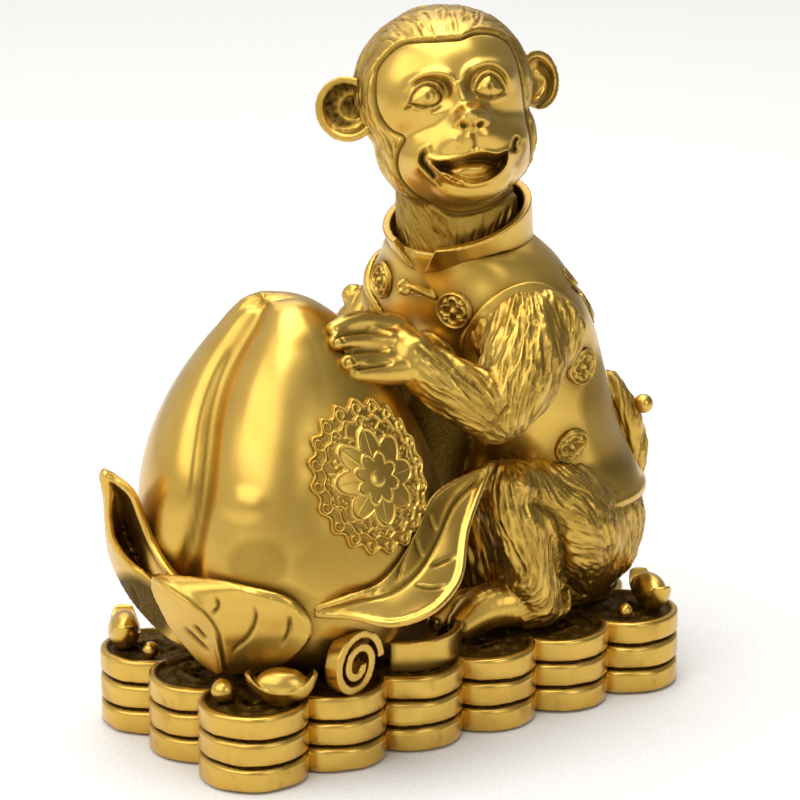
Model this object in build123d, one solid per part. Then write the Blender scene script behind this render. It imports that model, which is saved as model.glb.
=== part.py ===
from build123d import *
import os
from math import cos, exp, radians, sin

# Cast brass monkey that sits on a base of coin stacks and hugs a large peach.
# Millimetres, +Z up. The origin is under the middle of the base, on the face that it rests on.
# The front of the ornament faces -Y, and the monkey sits at the +X end, facing -X.

# Base of coin stacks
COIN_RADIUS = 12.6
COIN_PITCH = 21.5
COINS_LONG = 6
COINS_DEEP = 3
COIN_LAYERS = 3
COIN_THICKNESS = 5.3
GROOVE_HEIGHT = 1.0
GROOVE_DEPTH = 0.9
COIN_RIM_WIDTH = 1.9
COIN_RIM_DEPTH = 0.8
COIN_HOLE_WIDTH = 6.0
DECK_THICKNESS = 4.0
BASE_WALL = 3.0
LEDGE_WIDTH = 1.6
POCKET_CORNER_RADIUS = 8.0

# Closing plate, felt and screws under the base
PLATE_THICKNESS = 1.5
PLATE_CLEARANCE = 0.2
FELT_THICKNESS = 1.2
FELT_PROUD = 0.5
SCREW_RADIUS = 1.5
SCREW_HEAD_RADIUS = 2.8
SCREW_LENGTH = 8.0
SCREW_INSET = 7.0
BOSS_RADIUS = 3.6
BOLT_RADIUS = 2.5
BOLT_HEAD_RADIUS = 4.4
BOLT_HEAD_HEIGHT = 3.0
BOLT_GRIP = 5.0
BOLT_CLEARANCE = 0.25
TRUNK_BOLT_SHARE = 0.3

# General values of the castings
WALL = 3.0
FLOOR = 6.0
SEAT_CLEARANCE = 0.15
CUT_OVERRUN = 60.0
LIMB_END_ANGLES = (25, 50, 75)

# Peach
PEACH_OFFSET = 28.6
PEACH_SETBACK = 0.5
PEACH_RADIUS = 36.0
PEACH_HEIGHT = 86.0
PEACH_LEAN = 6.5
PEACH_CREASE_DEPTH = 3.4
PEACH_CREASE_YAW = -74
PEACH_CREASE_SPREAD = 13
PEACH_SECTION_POINTS = 24
PEACH_STEP_SHARE = 0.03
PEACH_HEIGHT_SHARES = (0.0, 0.06, 0.14, 0.22, 0.30, 0.41, 0.55, 0.69, 0.80, 0.88, 0.94, 0.975, 1.0)
PEACH_RADIUS_SHARES = (0.50, 0.70, 0.86, 0.955, 1.0, 0.975, 0.885, 0.725, 0.565, 0.43, 0.30, 0.18, 0.06)
PEACH_LEAN_SHARES = (0.0, 0.0, 0.0, 0.0, 0.0, 0.0, 0.0, 0.0, 0.0, 0.06, 0.25, 0.55, 1.0)

# Medallion on the front of the peach
MEDALLION_RADIUS = 16.3
MEDALLION_LOBE_RADIUS = 2.2
MEDALLION_LOBES = 20
MEDALLION_RELIEF = 0.9
MEDALLION_YAW = 4
MEDALLION_HEIGHT_SHARE = 0.575

# Leaves round the foot of the peach
LEAF_THICKNESS = 1.8
LEAF_FRONT_TWIST = 0
LEAF_FRONT_HALF_WIDTH = 22.0
LEAF_FRONT_SHARES = (
    (-0.593, -0.377, 0.03, 0.14, 0.05),
    (-0.742, -0.423, 0.09, 0.55, 0.25),
    (-0.872, -0.433, 0.17, 0.90, 0.34),
    (-0.984, -0.423, 0.24, 0.97, 0.34),
    (-1.06, -0.395, 0.295, 0.80, 0.30),
    (-1.12, -0.370, 0.335, 0.45, 0.22),
)
LEAF_LEFT_HALF_WIDTH = 13.0
LEAF_LEFT_TWIST = 42
LEAF_LEFT_SHARES = (
    (-0.594, 0.264, 0.03, 0.30, 0.10),
    (-0.77, 0.28, 0.12, 0.80, 0.30),
    (-0.93, 0.27, 0.25, 1.00, 0.32),
    (-1.04, 0.26, 0.38, 0.85, 0.28),
    (-1.12, 0.25, 0.49, 0.50, 0.20),
    (-1.165, 0.25, 0.56, 0.12, 0.10),
)
LEAF_RIGHT_HALF_WIDTH = 7.8
LEAF_RIGHT_SHARES = (
    (-0.261, -0.972, 0.205, 0.30),
    (0.072, -1.014, 0.216, 0.76),
    (0.44, -0.975, 0.268, 0.98),
    (0.70, -0.847, 0.348, 0.92),
    (0.89, -0.778, 0.437, 0.62),
    (1.02, -0.694, 0.524, 0.14),
)
LEAF_RIGHT_FLARE_SHARE = 0.55
LEAF_RIGHT_CAMBER_SHARE = 0.18

# Trunk of the monkey: the vest above, the furry seat below
BODY_OFFSET = 43.3
BODY_SETBACK = 5.0
CHEST_YAW = -75
HEM_HEIGHT = 26.0
VEST_HEIGHT = 65.0
VEST_HALF_WIDTH = 28.0
VEST_HALF_DEPTH = 22.0
VEST_LEAN = 21.0
VEST_HEIGHT_SHARES = (0.0, 0.08, 0.30, 0.47, 0.655, 0.786, 0.878, 0.948, 1.0)
VEST_LEAN_SHARES = (0.0, 0.02, 0.205, 0.333, 0.56, 0.776, 0.848, 0.929, 0.99)
VEST_WIDTH_SHARES = (0.964, 0.929, 0.90, 0.914, 1.0, 1.035, 0.89, 0.74, 0.607)
VEST_DEPTH_SHARES = (1.227, 1.16, 1.068, 1.0, 0.932, 0.886, 0.827, 0.773, 0.727)
SEAT_HALF_WIDTH = 22.0
SEAT_HALF_DEPTH = 24.0
SEAT_TOP_LAP = 10.0
SEAT_HEIGHT_SHARES = (0.0, 0.35, 0.75, 1.0)
SEAT_RADIUS_SHARES = (0.94, 1.06, 1.04, 0.97)

# Collar and trimmings of the vest
COLLAR_WALL = 1.9
COLLAR_HEIGHT = 15.0
COLLAR_DROP = 7.6
COLLAR_RADIUS = 15.5
COLLAR_FLARE = 2.5
COLLAR_TILT = 20
COLLAR_NOTCH_HALF_WIDTH = 12.0
COLLAR_NOTCH_SHARE = 0.55
ARMHOLE_RADIUS = 12.0
ARMHOLE_CORD_RADIUS = 1.3
ARMHOLE_TURNS = (62, -76)
ARMHOLE_HEIGHT_SHARE = 0.70
ROUNDEL_RADIUS = 4.6
ROUNDEL_RELIEF = 0.7
ROUNDEL_TURNS = (26, -42, 117, 128, 88, 71, 180, 205, 160, -95)
ROUNDEL_HEIGHT_SHARES = (0.797, 0.845, 0.88, 0.74, 0.56, 0.258, 0.68, 0.36, 0.30, 0.40)
FROG_TURNS = (-18, -4, 10)
FROG_HEIGHT_SHARE = 0.845
FROG_RADIUS = 1.3

# Head
HEAD_SPOT_SHARES = (-1.265, -0.143, 1.498)
HEAD_YAW = -21
HEAD_PITCH = -10
HEAD_ROLL = -7
HEAD_HALF_WIDTH = 20.8
HEAD_HALF_HEIGHT = 23.7
HEAD_FORM_SHARES = (
    ((0.0, 0.06, 0.20), (1.0, 1.0, 0.80)),
    ((0.03, -0.06, -0.36), (0.89, 0.86, 0.62)),
    ((0.0, -0.68, -0.40), (0.56, 0.40, 0.36)),
    ((0.0, -0.58, 0.20), (0.66, 0.37, 0.25)),
    ((0.0, -0.99, -0.13), (0.17, 0.14, 0.11)),
)
HEAD_CAVITY_SHARES = (0.80, 0.80, 0.60)
NECK_RADIUS = 11.5
NECK_SPIGOT_RADIUS = 8.6
NECK_SPIGOT_LENGTH = 7.0
NECK_LENGTH = 14.0
EAR_RADIUS = 7.0
EAR_DEPTH = 4.0
EAR_WALL = 1.5
EAR_BEND_SHARE = 0.72
EAR_SPLAY = 31
EAR_SPOT_SHARES = (1.12, 0.04, 0.14)

# Arms
ARM_RADIUS = 10.0
ARM_REACH = 64.0
LEFT_UPPER_ARM_SHARES = (
    (0.03, 0.06, 0.03, 0.95), (-0.08, -0.07, -0.10, 0.95), (-0.20, -0.08, -0.215, 0.84)
)
LEFT_FOREARM_SHARES = (
    (-0.21, -0.08, -0.215, 0.82), (-0.34, -0.03, -0.13, 0.70), (-0.46, 0.05, -0.03, 0.56)
)
LEFT_PALM_SHARES = (
    (-0.47, 0.06, -0.02, 0.55), (-0.54, 0.13, 0.02, 0.56), (-0.58, 0.18, 0.04, 0.50)
)
LEFT_FINGER_ROOT_YAWS = (72, 68, 64, 62)
LEFT_FINGER_ROOT_SHARES = (0.895, 0.87, 0.845, 0.815)
LEFT_FINGER_TIP_YAWS = (24, 8, 6, 10)
LEFT_FINGER_TIP_SHARES = (0.925, 0.888, 0.851, 0.812)
RIGHT_UPPER_ARM_SHARES = (
    (0.05, -0.04, 0.0, 0.85), (-0.08, 0.03, -0.16, 0.82), (-0.25, 0.05, -0.33, 0.78)
)
RIGHT_FOREARM_SHARES = (
    (-0.26, 0.05, -0.33, 0.78), (-0.40, 0.09, -0.31, 0.68), (-0.53, 0.12, -0.28, 0.55)
)
RIGHT_PALM_SHARES = (
    (-0.54, 0.12, -0.28, 0.54), (-0.60, 0.13, -0.26, 0.56), (-0.65, 0.12, -0.25, 0.50)
)
RIGHT_FINGER_ROOT_YAWS = (164, 166, 166, 164)
RIGHT_FINGER_ROOT_SHARES = (0.655, 0.635, 0.61, 0.585)
RIGHT_FINGER_TIP_YAWS = (192, 196, 196, 192)
RIGHT_FINGER_TIP_SHARES = (0.69, 0.65, 0.61, 0.57)
FINGER_RADIUS = 1.9
FINGER_LIFT_SHARE = 0.7
DOWEL_RADIUS = 2.0
DOWEL_LENGTH = 14.0

# Legs
LEG_RADIUS = 10.0
LEG_REACH = 40.0
HAUNCH_SPOT_SHARES = (0.04, -0.40, 0.48)
HAUNCH_RADIUS_SHARES = (2.0, 1.35, 1.9)
THIGH_SHARES = ((-0.05, -0.42, 0.52, 1.6), (-0.35, -0.52, 0.70, 1.3), (-0.58, -0.57, 0.79, 1.05))
SHIN_SHARES = ((-0.58, -0.57, 0.78, 1.0), (-0.50, -0.60, 0.50, 0.95), (-0.40, -0.63, 0.20, 0.75))
FOOT_SHARES = (
    (-0.31, -0.62, 0.15, 0.62), (-0.53, -0.59, 0.14, 0.60),
    (-0.73, -0.54, 0.11, 0.48), (-0.86, -0.50, 0.10, 0.38)
)
SECOND_TOE_SHARES = ((-0.70, -0.42, 0.11, 0.42), (-0.86, -0.36, 0.09, 0.36), (-1.0, -0.31, 0.08, 0.29))

# Tail and its bead
TAIL_REACH = 50.0
TAIL_RADIUS = 4.8
TAIL_SHARES = (
    (0.36, 0.14, 0.11, 1.0), (0.49, 0.07, 0.19, 1.0), (0.56, -0.03, 0.39, 0.95),
    (0.555, -0.11, 0.62, 0.88), (0.49, -0.13, 0.84, 0.80), (0.40, -0.11, 1.0, 0.66)
)
TAIL_BEAD_RADIUS = 2.4
TAIL_BEAD_SHARES = (0.57, -0.19, 0.88)

# Small treasures on the coins, placed in shares of a coin from the middle of their stack
INGOT_LENGTH = 16.5
INGOT_WIDTH = 9.0
INGOT_HEIGHT = 8.0
INGOT_SADDLE_RADIUS = 8.5
INGOT_DOME_SHARES = (0.24, 0.36, 0.62)
INGOT_SINK_SHARE = 0.12
INGOT_FRONT_SHARES = (0.34, -0.40)
INGOT_FRONT_YAW = -35
INGOT_LEFT_SHARES = (-0.42, 0.36)
INGOT_LEFT_YAW = 60
INGOT_RIGHT_SHARES = (0.42, -0.20)
INGOT_RIGHT_YAW = 75
PEARL_RADII = (2.8, 1.9, 2.0)
PEARL_STACKS = ((0, 0), (5, 0), (0, 2))
PEARL_SPOT_SHARES = ((-0.46, 0.28), (-0.34, -0.40), (-0.34, -0.44))
SCROLL_RADIUS = 7.2
SCROLL_BAND = 2.0
SCROLL_DEPTH = 4.0
SCROLL_TURN_SHARES = (1.0, 0.78, 0.56, 0.36)
SCROLL_YAW = 15
SCROLL_SPOT_SHARES = (0.0, -0.72)
RIBBON_RADIUS = 13.0
RIBBON_THICKNESS = 1.8
RIBBON_HEIGHT = 6.5
RIBBON_HALF_ANGLE = 52
RIBBON_YAW = 4
RIBBON_SPOT_SHARES = (0.25, 0.55)

stack_height = COIN_LAYERS * COIN_THICKNESS + (COIN_LAYERS - 1) * GROOVE_HEIGHT
deck_z = FELT_PROUD + stack_height
half_row = COIN_PITCH * (COINS_LONG - 1) / 2
half_column = COIN_PITCH * (COINS_DEEP - 1) / 2
valley = (COIN_RADIUS ** 2 - (COIN_PITCH / 2) ** 2) ** 0.5
cavity_half_x = half_row + valley - GROOVE_DEPTH - BASE_WALL
cavity_half_y = half_column + valley - GROOVE_DEPTH - BASE_WALL
plate_z = FELT_THICKNESS
plate_top_z = plate_z + PLATE_THICKNESS
deck_under_z = deck_z - DECK_THICKNESS
peach_spot = Vector(-PEACH_OFFSET, PEACH_SETBACK, deck_z)
body_spot = Vector(BODY_OFFSET, BODY_SETBACK, deck_z)
hem_z = deck_z + HEM_HEIGHT
neck_z = hem_z + VEST_HEIGHT
neck_x = BODY_OFFSET - VEST_LEAN * VEST_LEAN_SHARES[-1]


def ellipsoid(radii):
    """Ellipsoid round the origin with the given three radii."""
    return scale(Sphere(1), by=tuple(radii))


def yaw_direction(yaw):
    """Level direction that the front, -Y, takes after a turn of yaw degrees."""
    return Vector(sin(radians(yaw)), -cos(radians(yaw)), 0)


def limb(stations):
    """Round limb with domed ends through stations of (point, radius)."""
    points = [point for point, radius in stations]
    radii = [radius for point, radius in stations]
    last = len(points) - 1
    courses = []
    for i in range(last + 1):
        courses.append((points[min(i + 1, last)] - points[max(i - 1, 0)]).normalized())
    chord = (points[-1] - points[0]).normalized()
    side = chord.cross(Vector(0, 0, 1)).normalized()

    def disc(point, course, radius):
        across = (side - course * side.dot(course)).normalized()
        return Plane(origin=point, x_dir=across, z_dir=course) * Circle(radius)

    discs = []
    for angle in reversed(LIMB_END_ANGLES):
        start = points[0] - courses[0] * radii[0] * sin(radians(angle))
        discs.append(disc(start, courses[0], radii[0] * cos(radians(angle))))
    for point, course, radius in zip(points, courses, radii):
        discs.append(disc(point, course, radius))
    for angle in LIMB_END_ANGLES:
        tip = points[-1] + courses[-1] * radii[-1] * sin(radians(angle))
        discs.append(disc(tip, courses[-1], radii[-1] * cos(radians(angle))))
    return loft(discs)


def stations_from(origin, reach, thickness, table):
    """Limb stations from shares of a reach, for places, and of a thickness, for radii."""
    stations = []
    for x, y, z, r in table:
        stations.append((origin + Vector(x, y, z) * reach, r * thickness))
    return stations


def above(z):
    """Large block whose underside lies at the height z."""
    size = PEACH_HEIGHT + VEST_HEIGHT + CUT_OVERRUN
    return Pos(0, 0, z) * Box(size, size, size, align=(Align.CENTER, Align.CENTER, Align.MIN))


def below(z):
    """Large block whose top lies at the height z."""
    size = PEACH_HEIGHT + VEST_HEIGHT + CUT_OVERRUN
    return Pos(0, 0, z) * Box(size, size, size, align=(Align.CENTER, Align.CENTER, Align.MAX))


def upright(radius, height):
    """Round bar that stands on the origin."""
    return Cylinder(radius, height, align=(Align.CENTER, Align.CENTER, Align.MIN))


def rounded_block(half_x, half_y, z, height):
    """Upright block with rounded corners, from the height z."""
    outline = RectangleRounded(half_x * 2, half_y * 2, POCKET_CORNER_RADIUS)
    return extrude(Pos(0, 0, z) * outline, amount=height)


def stack_places():
    """Centres of the coin stacks round the edge of the base."""
    places = []
    for i in range(COINS_LONG):
        for j in range(COINS_DEEP):
            on_edge = i in (0, COINS_LONG - 1) or j in (0, COINS_DEEP - 1)
            if on_edge:
                places.append((i * COIN_PITCH - half_row, j * COIN_PITCH - half_column))
    return places


def coin_outline(radius):
    """Scalloped outline of one layer of coins."""
    outline = Rectangle(half_row * 2, half_column * 2)
    for x, y in stack_places():
        outline += Pos(x, y) * Circle(radius)
    return outline


def screw_places():
    """Places of the plate screws, in from the corners of the cavity."""
    x = cavity_half_x - SCREW_INSET
    y = cavity_half_y - SCREW_INSET
    return [(x, y), (-x, y), (-x, -y), (x, -y)]


def bolt_places():
    """Places of the bolts that hold the peach and the trunk on the deck."""
    spread = SEAT_HALF_DEPTH * TRUNK_BOLT_SHARE
    return [
        (peach_spot.X, peach_spot.Y),
        (body_spot.X - spread, body_spot.Y),
        (body_spot.X + spread, body_spot.Y),
    ]


def make_coin_base():
    """Hollow scalloped base, grooved into coins, with bosses for the plate screws."""
    solid = None
    z = FELT_PROUD
    for layer in range(COIN_LAYERS):
        coins = extrude(Pos(0, 0, z) * coin_outline(COIN_RADIUS), amount=COIN_THICKNESS)
        solid = coins if solid is None else solid + coins
        z += COIN_THICKNESS
        if layer < COIN_LAYERS - 1:
            solid += extrude(Pos(0, 0, z) * coin_outline(COIN_RADIUS - GROOVE_DEPTH), amount=GROOVE_HEIGHT)
            z += GROOVE_HEIGHT
    face = Circle(COIN_RADIUS - COIN_RIM_WIDTH) - Rectangle(COIN_HOLE_WIDTH, COIN_HOLE_WIDTH)
    for x, y in stack_places():
        solid -= extrude(Pos(x, y, deck_z - COIN_RIM_DEPTH) * face, amount=COIN_RIM_DEPTH * 2)
    solid -= rounded_block(cavity_half_x, cavity_half_y, plate_top_z, deck_under_z - plate_top_z)
    pocket_x = cavity_half_x + LEDGE_WIDTH
    pocket_y = cavity_half_y + LEDGE_WIDTH
    solid -= rounded_block(pocket_x, pocket_y, 0, plate_top_z)
    for x, y in screw_places():
        boss = upright(BOSS_RADIUS, deck_under_z - plate_top_z)
        hole = upright(SCREW_RADIUS, SCREW_LENGTH)
        solid += Pos(x, y, plate_top_z) * boss
        solid -= Pos(x, y, plate_z) * hole
    for x, y in bolt_places():
        hole = Cylinder(BOLT_RADIUS + BOLT_CLEARANCE, DECK_THICKNESS * 2)
        solid -= Pos(x, y, deck_under_z + DECK_THICKNESS / 2) * hole
    return solid


def make_base_plate():
    """Plate that closes the base from below, countersunk for its screws."""
    half_x = cavity_half_x + LEDGE_WIDTH - PLATE_CLEARANCE
    half_y = cavity_half_y + LEDGE_WIDTH - PLATE_CLEARANCE
    plate = rounded_block(half_x, half_y, plate_z, PLATE_THICKNESS)
    for x, y in screw_places():
        sink = Cone(SCREW_HEAD_RADIUS, SCREW_RADIUS, PLATE_THICKNESS)
        plate -= Pos(x, y, plate_z + PLATE_THICKNESS / 2) * sink
    return plate


def make_base_screws():
    """Countersunk screws of the base plate."""
    screws = []
    for x, y in screw_places():
        head = Cone(SCREW_HEAD_RADIUS, SCREW_RADIUS, PLATE_THICKNESS)
        shank = upright(SCREW_RADIUS, SCREW_LENGTH)
        screw = Pos(0, 0, PLATE_THICKNESS / 2) * head + shank
        screws.append(Pos(x, y, plate_z) * screw)
    return Compound(screws)


def make_felt():
    """Felt sheet under the plate, a little proud of the rim of the base."""
    half_x = cavity_half_x + LEDGE_WIDTH - PLATE_CLEARANCE
    half_y = cavity_half_y + LEDGE_WIDTH - PLATE_CLEARANCE
    return rounded_block(half_x, half_y, 0, FELT_THICKNESS)


def make_bolts(places):
    """Bolts that come up through the deck into the castings."""
    bolts = []
    for x, y in places:
        head = Pos(0, 0, -BOLT_HEAD_HEIGHT) * upright(BOLT_HEAD_RADIUS, BOLT_HEAD_HEIGHT)
        shank = upright(BOLT_RADIUS, DECK_THICKNESS + BOLT_GRIP)
        bolts.append(Pos(x, y, deck_under_z) * (head + shank))
    return Compound(bolts)


def bolt_hole(x, y):
    """Threaded hole that takes a bolt, from the deck up."""
    hole = Cylinder(BOLT_RADIUS, BOLT_GRIP * 2)
    return Pos(x, y, deck_z) * hole


def share_at(height, heights, shares):
    """Share of a table of sections at a height between two of them."""
    last = len(heights) - 1
    for i in range(last):
        low = heights[i]
        high = heights[i + 1]
        if height <= high or i == last - 1:
            along = (height - low) / (high - low)
            return shares[i] + (shares[i + 1] - shares[i]) * along


def peach_point(yaw, height):
    """Point on the peach, and the way straight out of its skin there."""
    step = PEACH_STEP_SHARE
    radius = PEACH_RADIUS * share_at(height, PEACH_HEIGHT_SHARES, PEACH_RADIUS_SHARES)
    higher = PEACH_RADIUS * share_at(height + step, PEACH_HEIGHT_SHARES, PEACH_RADIUS_SHARES)
    lean = PEACH_LEAN * share_at(height, PEACH_HEIGHT_SHARES, PEACH_LEAN_SHARES)
    level = yaw_direction(yaw)
    normal = (level + Vector(0, 0, (radius - higher) / (PEACH_HEIGHT * step))).normalized()
    axis = peach_spot + Vector(-lean, 0, PEACH_HEIGHT * height)
    return axis + level * radius, normal


def peach_form(grow):
    """Peach with its crease, swollen or shrunk by grow."""
    sections = []
    for height, radius, lean in zip(PEACH_HEIGHT_SHARES, PEACH_RADIUS_SHARES, PEACH_LEAN_SHARES):
        reach = PEACH_RADIUS * radius + grow
        if reach < -grow:
            continue
        points = []
        for k in range(PEACH_SECTION_POINTS):
            turn = 360 * k / PEACH_SECTION_POINTS
            off = (turn + 180) % 360 - 180
            crease = PEACH_CREASE_DEPTH * radius * exp(-(off / PEACH_CREASE_SPREAD) ** 2)
            out = yaw_direction(PEACH_CREASE_YAW + turn)
            points.append(((reach - crease) * out.X, (reach - crease) * out.Y))
        x = peach_spot.X - PEACH_LEAN * lean
        plane = Plane(origin=(x, peach_spot.Y, deck_z + PEACH_HEIGHT * height))
        sections.append(plane * make_face(Spline(*points, periodic=True)))
    return loft(sections)


def make_peach():
    """Hollow peach with a thick floor for its bolt."""
    cavity = peach_form(-WALL) & above(deck_z + FLOOR)
    return peach_form(0) - cavity - bolt_hole(peach_spot.X, peach_spot.Y)


def make_medallion():
    """Lobed medallion that lies on the front of the peach."""
    outline = Circle(MEDALLION_RADIUS)
    for k in range(MEDALLION_LOBES):
        lobe = Pos(MEDALLION_RADIUS, 0) * Circle(MEDALLION_LOBE_RADIUS)
        outline += Rot(Z=360 * k / MEDALLION_LOBES) * lobe
    spot, normal = peach_point(MEDALLION_YAW, MEDALLION_HEIGHT_SHARE)
    plane = Plane(origin=spot, x_dir=normal.cross(Vector(0, 0, 1)), z_dir=normal)
    prism = extrude(plane * outline, amount=MEDALLION_RADIUS, both=True)
    return (peach_form(MEDALLION_RELIEF) & prism) - peach_form(0)


def leaf_section(middle, across, out, half_width, camber):
    """Thin crescent across a leaf, its edges turned in by the camber."""
    start = middle - across * half_width - out * camber
    end = middle + across * half_width - out * camber
    skin = out * LEAF_THICKNESS
    outer = ThreePointArc(start + skin, middle + skin, end + skin)
    inner = ThreePointArc(start, middle, end)
    return make_face([outer, Line(end + skin, end), inner, Line(start, start + skin)])


def cupped_leaf(half_width, twist, table):
    """Leaf that stands round the foot of the peach, its rib rising outwards."""
    middles = []
    for x, y, z, width, camber in table:
        middles.append(peach_spot + Vector(x * PEACH_RADIUS, y * PEACH_RADIUS, z * PEACH_HEIGHT))
    sections = []
    last = len(middles) - 1
    for i, (x, y, z, width, camber) in enumerate(table):
        rib = (middles[min(i + 1, last)] - middles[max(i - 1, 0)]).normalized()
        across = rib.cross(Vector(x, y, 0)).normalized().rotate(Axis.Z, twist)
        across = (across - rib * across.dot(rib)).normalized()
        out = across.cross(rib).normalized()
        reach = half_width * width
        sections.append(leaf_section(middles[i], across, out, reach, reach * camber))
    return loft(sections)


def flared_leaf(half_width, table):
    """Leaf that runs along the flank of the peach, its lower edge flared out."""
    middles = []
    for x, y, z, width in table:
        middles.append(peach_spot + Vector(x * PEACH_RADIUS, y * PEACH_RADIUS, z * PEACH_HEIGHT))
    sections = []
    last = len(middles) - 1
    for i, (x, y, z, width) in enumerate(table):
        rib = (middles[min(i + 1, last)] - middles[max(i - 1, 0)]).normalized()
        outwards = Vector(x, y, 0).normalized()
        drop = outwards * LEAF_RIGHT_FLARE_SHARE - Vector(0, 0, 1)
        across = (drop - rib * drop.dot(rib)).normalized()
        out = across.cross(rib).normalized()
        if out.dot(outwards) < 0:
            out = out * -1
        reach = half_width * width
        sections.append(leaf_section(middles[i], across, out, reach, reach * LEAF_RIGHT_CAMBER_SHARE))
    return loft(sections)


def vest_spot(turn, height):
    """Point on the vest, turn degrees from the front of the chest, and the level way out there."""
    across = VEST_HALF_WIDTH * share_at(height, VEST_HEIGHT_SHARES, VEST_WIDTH_SHARES)
    deep = VEST_HALF_DEPTH * share_at(height, VEST_HEIGHT_SHARES, VEST_DEPTH_SHARES)
    reach = 1 / ((cos(radians(turn)) / deep) ** 2 + (sin(radians(turn)) / across) ** 2) ** 0.5
    axis_x = BODY_OFFSET - VEST_LEAN * share_at(height, VEST_HEIGHT_SHARES, VEST_LEAN_SHARES)
    out = yaw_direction(CHEST_YAW + turn)
    return Vector(axis_x, BODY_SETBACK, hem_z + VEST_HEIGHT * height) + out * reach, out


def vest_form(grow):
    """Vest, swollen or shrunk by grow, leaning forward as it rises."""
    side = yaw_direction(CHEST_YAW + 90)
    sections = []
    table = zip(VEST_HEIGHT_SHARES, VEST_LEAN_SHARES, VEST_WIDTH_SHARES, VEST_DEPTH_SHARES)
    for height, lean, width, depth in table:
        origin = (BODY_OFFSET - VEST_LEAN * lean, BODY_SETBACK, hem_z + VEST_HEIGHT * height)
        plane = Plane(origin=origin, x_dir=side, z_dir=(0, 0, 1))
        sections.append(plane * Ellipse(VEST_HALF_WIDTH * width + grow, VEST_HALF_DEPTH * depth + grow))
    return loft(sections)


def seat_form(grow):
    """Furry seat between the deck and the hem of the vest."""
    side = yaw_direction(CHEST_YAW + 90)
    sections = []
    for height, radius in zip(SEAT_HEIGHT_SHARES, SEAT_RADIUS_SHARES):
        plane = Plane(origin=body_spot + Vector(0, 0, HEM_HEIGHT * height), x_dir=side, z_dir=(0, 0, 1))
        sections.append(plane * Ellipse(SEAT_HALF_WIDTH * radius + grow, SEAT_HALF_DEPTH * radius + grow))
    return loft(sections)


def make_vest():
    """Hollow vest, open at the hem, with a bore for the neck and holes for the arm dowels."""
    cavity = vest_form(-WALL) & below(neck_z - WALL)
    bore = Cylinder(NECK_SPIGOT_RADIUS + SEAT_CLEARANCE, NECK_SPIGOT_LENGTH * 2)
    vest = vest_form(0) - cavity - Pos(neck_x, BODY_SETBACK, neck_z) * bore
    for turn in ARMHOLE_TURNS:
        vest -= dowel(turn, SEAT_CLEARANCE)
    return vest


def make_seat():
    """Seat that laps up inside the vest, open at the top."""
    lap = vest_form(-WALL - SEAT_CLEARANCE) & above(hem_z) & below(hem_z + SEAT_TOP_LAP)
    inside = seat_form(-WALL) & above(deck_z + FLOOR)
    mouth = vest_form(-WALL * 2) & below(hem_z + SEAT_TOP_LAP * 2)
    seat = seat_form(0) + lap - inside - mouth
    for x, y in bolt_places()[1:]:
        seat -= bolt_hole(x, y)
    return seat


def shoulder_plane(turn):
    """Plane on the side of the chest where an arm leaves, its Z pointing out."""
    spot, facing = vest_spot(turn, ARMHOLE_HEIGHT_SHARE)
    return Plane(origin=spot, x_dir=facing.cross(Vector(0, 0, 1)), z_dir=facing)


def dowel(turn, grow):
    """Dowel that pins an arm to the vest."""
    return shoulder_plane(turn).location * Cylinder(DOWEL_RADIUS + grow, DOWEL_LENGTH)


def make_armhole(turn, vest, arm):
    """Corded edge of an armhole, laid on the vest round the arm."""
    band = Circle(ARMHOLE_RADIUS + ARMHOLE_CORD_RADIUS) - Circle(ARMHOLE_RADIUS - ARMHOLE_CORD_RADIUS)
    tube = extrude(shoulder_plane(turn) * band, amount=ARMHOLE_RADIUS, both=True)
    return (vest_form(ARMHOLE_CORD_RADIUS) & tube) - vest - arm


def make_arm(turn, bones, roots, tips, vest, peach):
    """Arm whose fingers lie round the peach, pinned to the vest."""
    shoulder = shoulder_plane(turn).origin
    arm = None
    for table in bones:
        bone = limb(stations_from(shoulder, ARM_REACH, ARM_RADIUS, table))
        arm = bone if arm is None else arm + bone
    for root, tip in zip(roots, tips):
        middle = ((root[0] + tip[0]) / 2, (root[1] + tip[1]) / 2)
        stations = []
        for yaw, height in (root, middle, tip):
            spot, normal = peach_point(yaw, height)
            stations.append((spot + normal * FINGER_RADIUS * FINGER_LIFT_SHARE, FINGER_RADIUS))
        arm += limb(stations)
    return arm - vest - peach - dowel(turn, SEAT_CLEARANCE)


def leg_form():
    """Left leg: haunch, thigh, shin, foot and toes."""
    spot = body_spot + Vector(*HAUNCH_SPOT_SHARES) * LEG_REACH
    radii = [share * LEG_RADIUS for share in HAUNCH_RADIUS_SHARES]
    leg = Pos(spot) * ellipsoid(radii)
    for table in (THIGH_SHARES, SHIN_SHARES, FOOT_SHARES, SECOND_TOE_SHARES):
        leg += limb(stations_from(body_spot, LEG_REACH, LEG_RADIUS, table))
    return leg & above(deck_z)


def make_leg(form, vest, seat):
    """Leg trimmed to the seat and the vest that it lies against."""
    return form - seat - vest


def make_tail(vest, seat):
    """Tail that rises along the back."""
    tail = limb(stations_from(body_spot, TAIL_REACH, TAIL_RADIUS, TAIL_SHARES))
    return (tail & above(deck_z)) - vest - seat


def head_location():
    """Place and turn of the head."""
    x, y, z = HEAD_SPOT_SHARES
    spot = Vector(BODY_OFFSET + x * VEST_LEAN, BODY_SETBACK + y * VEST_LEAN, hem_z + z * VEST_HEIGHT)
    return Pos(spot) * Rot(Z=HEAD_YAW) * Rot(X=HEAD_PITCH) * Rot(Y=HEAD_ROLL)


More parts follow.
